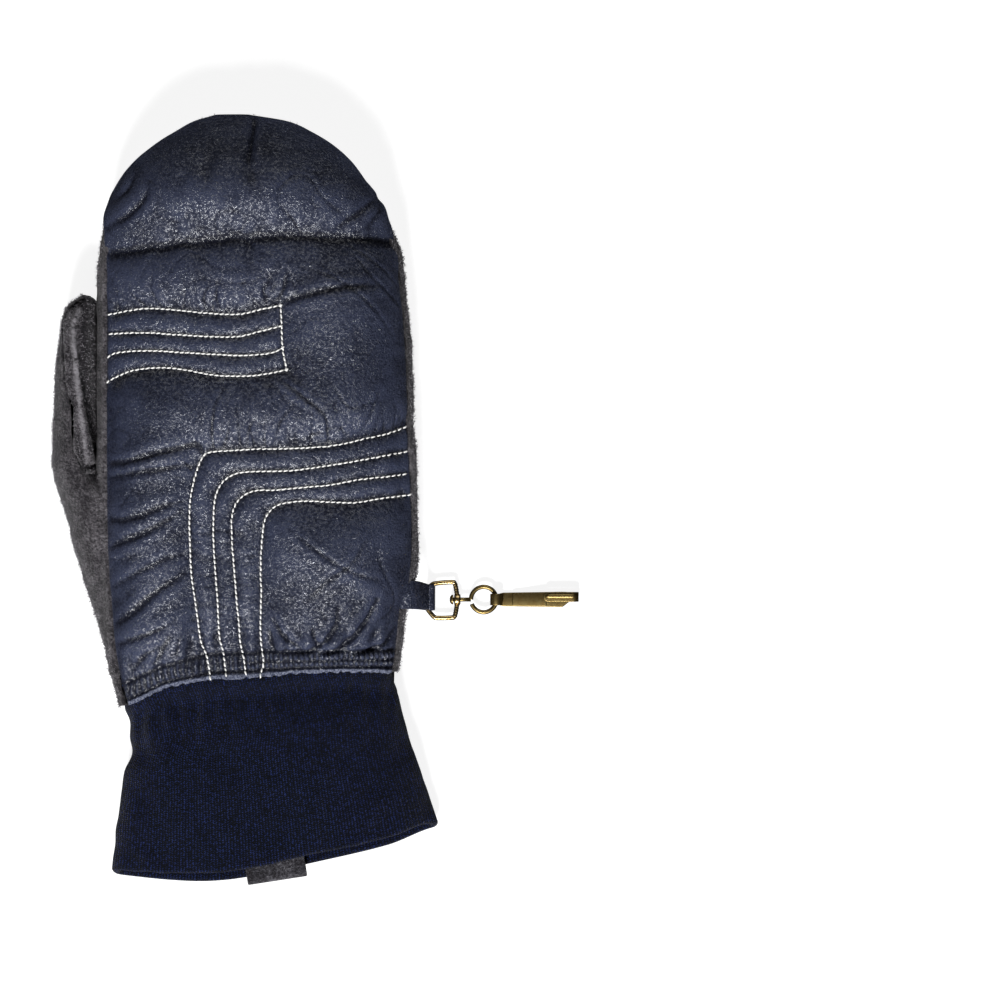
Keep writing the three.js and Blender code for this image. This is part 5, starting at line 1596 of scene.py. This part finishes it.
class MITTEN_OT_clip(bpy.types.Operator):
    """Make the brass clip: swivel eye, swivel ring, snap hook and its spring gate"""

    bl_idname = "mitten.clip"
    bl_label = "Brass clip"

    def execute(self, context):
        form, colours = settings()
        at = clip_places(form)
        cast = material_named("Cast_brass", brass, "Cast_brass", colours.cast_brass,
                              colours.tarnish, 0.3)
        strip = material_named("Aged_brass_strip", brass, "Aged_brass_strip", colours.strip_brass,
                               colours.tarnish, 0.42)
        self.eye(at, cast)
        self.ring(at, strip)
        self.hook(at, strip)
        self.gate(at, strip)
        return {"FINISHED"}

    def eye(self, at, material):
        corners = [(-3.0, 0), (-3.2, -3.8), (-2.6, -4.9), (-0.6, -7.1), (0.4, -7.4), (6.9, -7.2),
                   (7.6, -6.6), (8.3, -3.2), (8.6, 0), (8.3, 3.2), (7.6, 6.4), (6.9, 7.0),
                   (-0.6, 6.4), (-2.0, 5.6), (-2.9, 4.2)]
        flat = smooth_chain(corners + corners[:1], 0.35)[:-1]
        centres = np.column_stack([flat, np.zeros(len(flat))])
        frames = frames_along(centres, looped=True)
        notch = np.arange(len(flat))

        def outline(i):
            knurled = 1.0 if flat[i, 0] > 6.6 and abs(flat[i, 1]) > 2.2 else 0.0
            return round_outline(0.95 * (1 + 0.10 * knurled * math.cos(notch[i] * 2.1)), 14)

        frame_part = sweep(centres, frames, outline, looped=True)
        boss = lathe(((7.3, 0), (7.3, 1.5), (7.45, 2.1), (7.9, 2.3), (9.3, 2.3), (9.75, 2.1),
                      (9.9, 1.5), (9.9, 0)))
        points, faces = put_together([frame_part, boss])
        made = mesh_piece("cast_eye", points + (at["bar"], at["y"], at["z"]), faces, [material])
        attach(made, "mitten")
        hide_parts("swivel_eye")

    def ring(self, at, material):
        turns = np.radians(np.linspace(180, 180 - 340, 90))
        centres = RING_RADIUS * np.column_stack([np.cos(turns), np.sin(turns), 0 * turns])
        frames = frames_along(centres)
        wire = sweep(centres, frames, lambda i: round_outline(0.9, 16))
        offset = at["boss"] - at["ring"]
        pin = lathe(((offset - 2.0, 0), (offset - 2.0, 0.85), (-RING_RADIUS, 0.85), (-RING_RADIUS, 0)),
                    24)
        head = lathe((
            (offset - 3.1, 0), (offset - 3.05, 0.7), (offset - 2.8, 1.35), (offset - 2.4, 1.8),
            (offset - 1.9, 1.98), (offset - 1.65, 1.9), (offset - 1.6, 1.6), (offset - 1.6, 0),
        ), 36)
        points, faces = put_together([wire, pin, head])
        made = mesh_piece("open_ring", points + (at["ring"], at["y"], at["z"]), faces, [material])
        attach(made, "ring")
        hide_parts("swivel_ring")

    def hook(self, at, material):
        rolled_turns = np.radians(np.arange(-28, 270, 9))
        roll = [(ROLL_RADIUS * math.cos(t), ROLL_RADIUS * math.sin(t)) for t in rolled_turns]
        leaf = [(x, -ROLL_RADIUS) for x in np.arange(0.0, 30.8, 0.6)]
        back_turns = np.radians(np.arange(-90, 91, 10))
        bend_z = BEND_RADIUS - ROLL_RADIUS
        turn = [(30.8 + BEND_RADIUS * math.cos(t), bend_z + BEND_RADIUS * math.sin(t))
                for t in back_turns]
        tip = [(x, 2 * BEND_RADIUS - ROLL_RADIUS) for x in np.arange(30.4, 18.7, -0.4)]
        path = np.array(roll + leaf + turn + tip)
        run = np.concatenate([[0], np.cumsum(np.hypot(*np.diff(path, axis=0).T))])
        rolled = len(roll)
        start_leaf = run[rolled]
        end_leaf = run[rolled + len(leaf) - 1]
        end = run[-1]
        keys = (0, start_leaf + 1.0, start_leaf + 2.6, end_leaf - 4.0, end_leaf - 1.2, end - 2.0,
                end - 1.0, end - 0.4, end)
        widths = np.interp(run, keys, (4.6, 4.6, 5.5, 6.2, 3.9, 3.9, 3.3, 2.4, 1.2))
        offsets = np.interp(run, (0, end_leaf - 4.0, end_leaf - 1.2, end), (0, 0, 1.05, 1.05))
        centres = np.column_stack([path[:, 0], 0 * run, path[:, 1]])
        frames = frames_across(centres)
        strip = sweep(centres, frames, lambda i: strip_outline(widths[i], 0.78, 0.26, offsets[i]))
        along = np.linspace(19.6, 32.3, 40)
        channel = np.column_stack([along, 0 * along + 1.35, 1.9 - 0.35 * ease(30.5, 32.3, along)])
        swell = 1.15 * np.sqrt(np.clip(1 - np.abs((along - 25.95) / 6.5) ** 6, 0.02, 1))
        ribbed = sweep(channel, frames_along(channel), lambda i: round_outline(swell[i], 18))
        points, faces = put_together([strip, ribbed])
        place = (at["knuckle"], at["y"], at["z"])
        made = mesh_piece("snap_hook_strip", points + place, faces, [material])
        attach(made, "hook")
        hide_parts("snap_hook")

    def gate(self, at, material):
        path = smooth_chain(((0.2, 0.25), (3, 0.45), (8, 1.25), (12, 1.95), (14.0, 2.12)), 0.5)
        run = np.linspace(0, 1, len(path))
        widths = np.interp(run, (0, 0.08, 0.9, 1), (4.8, 5.4, 5.4, 4.6))
        centres = np.column_stack([path[:, 0], 0 * run, path[:, 1]])
        frames = frames_across(centres)
        points, faces = sweep(centres, frames, lambda i: strip_outline(widths[i], 0.5, 0.2))
        place = (at["knuckle"] + 6.2, at["y"], at["z"] - 1.698 + 0.3)
        made = mesh_piece("spring_gate", points + place, faces, [material])
        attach(made, "gate")
        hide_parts("hook_gate")


# Stage

class MITTEN_OT_stage(bpy.types.Operator):
    """Set up the pale floor, the soft studio light and the camera straight overhead"""

    bl_idname = "mitten.stage"
    bl_label = "Stage"

    def execute(self, context):
        scene = context.scene
        scene.view_settings.view_transform = "Standard"
        scene.view_settings.look = "None"
        scene.view_settings.exposure = 0.0
        camera = bpy.data.cameras.new("overhead")
        camera.sensor_width = 36
        camera.lens = CAMERA_LENS
        camera.clip_end = 20
        eye = bpy.data.objects.new("overhead", camera)
        eye.location = CAMERA_PLACE
        scene.collection.objects.link(eye)
        scene.camera = eye
        world = bpy.data.worlds.new("Studio")
        world.use_nodes = True
        tree = world.node_tree
        sky = add(tree, "ShaderNodeTexCoord")
        split = add(tree, "ShaderNodeSeparateXYZ", {0: sky.outputs["Generated"]})
        fall = add(tree, "ShaderNodeMapRange", {
            "Value": split.outputs["Z"], "From Min": 0.4, "From Max": 0.8, "To Min": 1.0,
            "To Max": 0.1}, interpolation_type="SMOOTHSTEP")
        front = add(tree, "ShaderNodeMapRange", {
            "Value": split.outputs["Y"], "From Min": -0.7, "From Max": 0.5, "To Min": 0.6,
            "To Max": 0.3}, interpolation_type="SMOOTHSTEP")
        level = add(tree, "ShaderNodeMath", {0: fall.outputs[0], 1: front.outputs[0]},
                    operation="MULTIPLY")
        tree.links.new(level.outputs[0], tree.nodes["Background"].inputs["Strength"])
        scene.world = world
        for softbox in SOFTBOXES:
            self.softbox(*softbox)
        floor_mesh = bpy.data.meshes.new("floor")
        floor_mesh.from_pydata(
            [(-FLOOR, -FLOOR, 0), (FLOOR, -FLOOR, 0), (FLOOR, FLOOR, 0), (-FLOOR, FLOOR, 0)], [],
            [(0, 1, 2, 3)])
        floor_mesh.materials.append(light_table())
        floor = bpy.data.objects.new("floor", floor_mesh)
        floor.location = (0, 0, -0.0002)
        floor.visible_glossy = False
        scene.collection.objects.link(floor)
        return {"FINISHED"}

    def softbox(self, name, place, size, power):
        light = bpy.data.lights.new(name, "AREA")
        light.shape = "SQUARE"
        light.size = size
        light.energy = power
        made = bpy.data.objects.new(name, light)
        made.location = place
        aim = Vector((0.02, -0.02, 0.02)) - Vector(place)
        made.rotation_euler = aim.to_track_quat("-Z", "Y").to_euler()
        bpy.context.scene.collection.objects.link(made)


class MITTEN_PT_panel(bpy.types.Panel):
    """Lists the mitten's pieces in the sidebar"""

    bl_idname = "MITTEN_PT_panel"
    bl_label = "Leather mitten"
    bl_space_type = "VIEW_3D"
    bl_region_type = "UI"
    bl_category = "Mitten"

    def draw(self, context):
        for operator in OPERATORS:
            self.layout.operator(operator.bl_idname)
        for group in (context.scene.mitten_sizes, context.scene.mitten_colours):
            for key in group.bl_rna.properties.keys():
                if key not in ("rna_type", "name"):
                    self.layout.prop(group, key)


OPERATORS = (
    MITTEN_OT_stage,
    MITTEN_OT_back,
    MITTEN_OT_stitching,
    MITTEN_OT_palm,
    MITTEN_OT_cuff,
    MITTEN_OT_tabs,
    MITTEN_OT_clip,
)
CLASSES = (MittenSizes, MittenColours, *OPERATORS, MITTEN_PT_panel)


def register():
    for cls in CLASSES:
        bpy.utils.register_class(cls)
    bpy.types.Scene.mitten_sizes = bpy.props.PointerProperty(type=MittenSizes)
    bpy.types.Scene.mitten_colours = bpy.props.PointerProperty(type=MittenColours)


def unregister():
    del bpy.types.Scene.mitten_colours
    del bpy.types.Scene.mitten_sizes
    for cls in reversed(CLASSES):
        bpy.utils.unregister_class(cls)


def main():
    register()
    bpy.ops.mitten.stage()
    bpy.ops.mitten.back()
    bpy.ops.mitten.stitching()
    bpy.ops.mitten.palm()
    bpy.ops.mitten.cuff()
    bpy.ops.mitten.tabs()
    bpy.ops.mitten.clip()


if __name__ == "__main__":
    main()
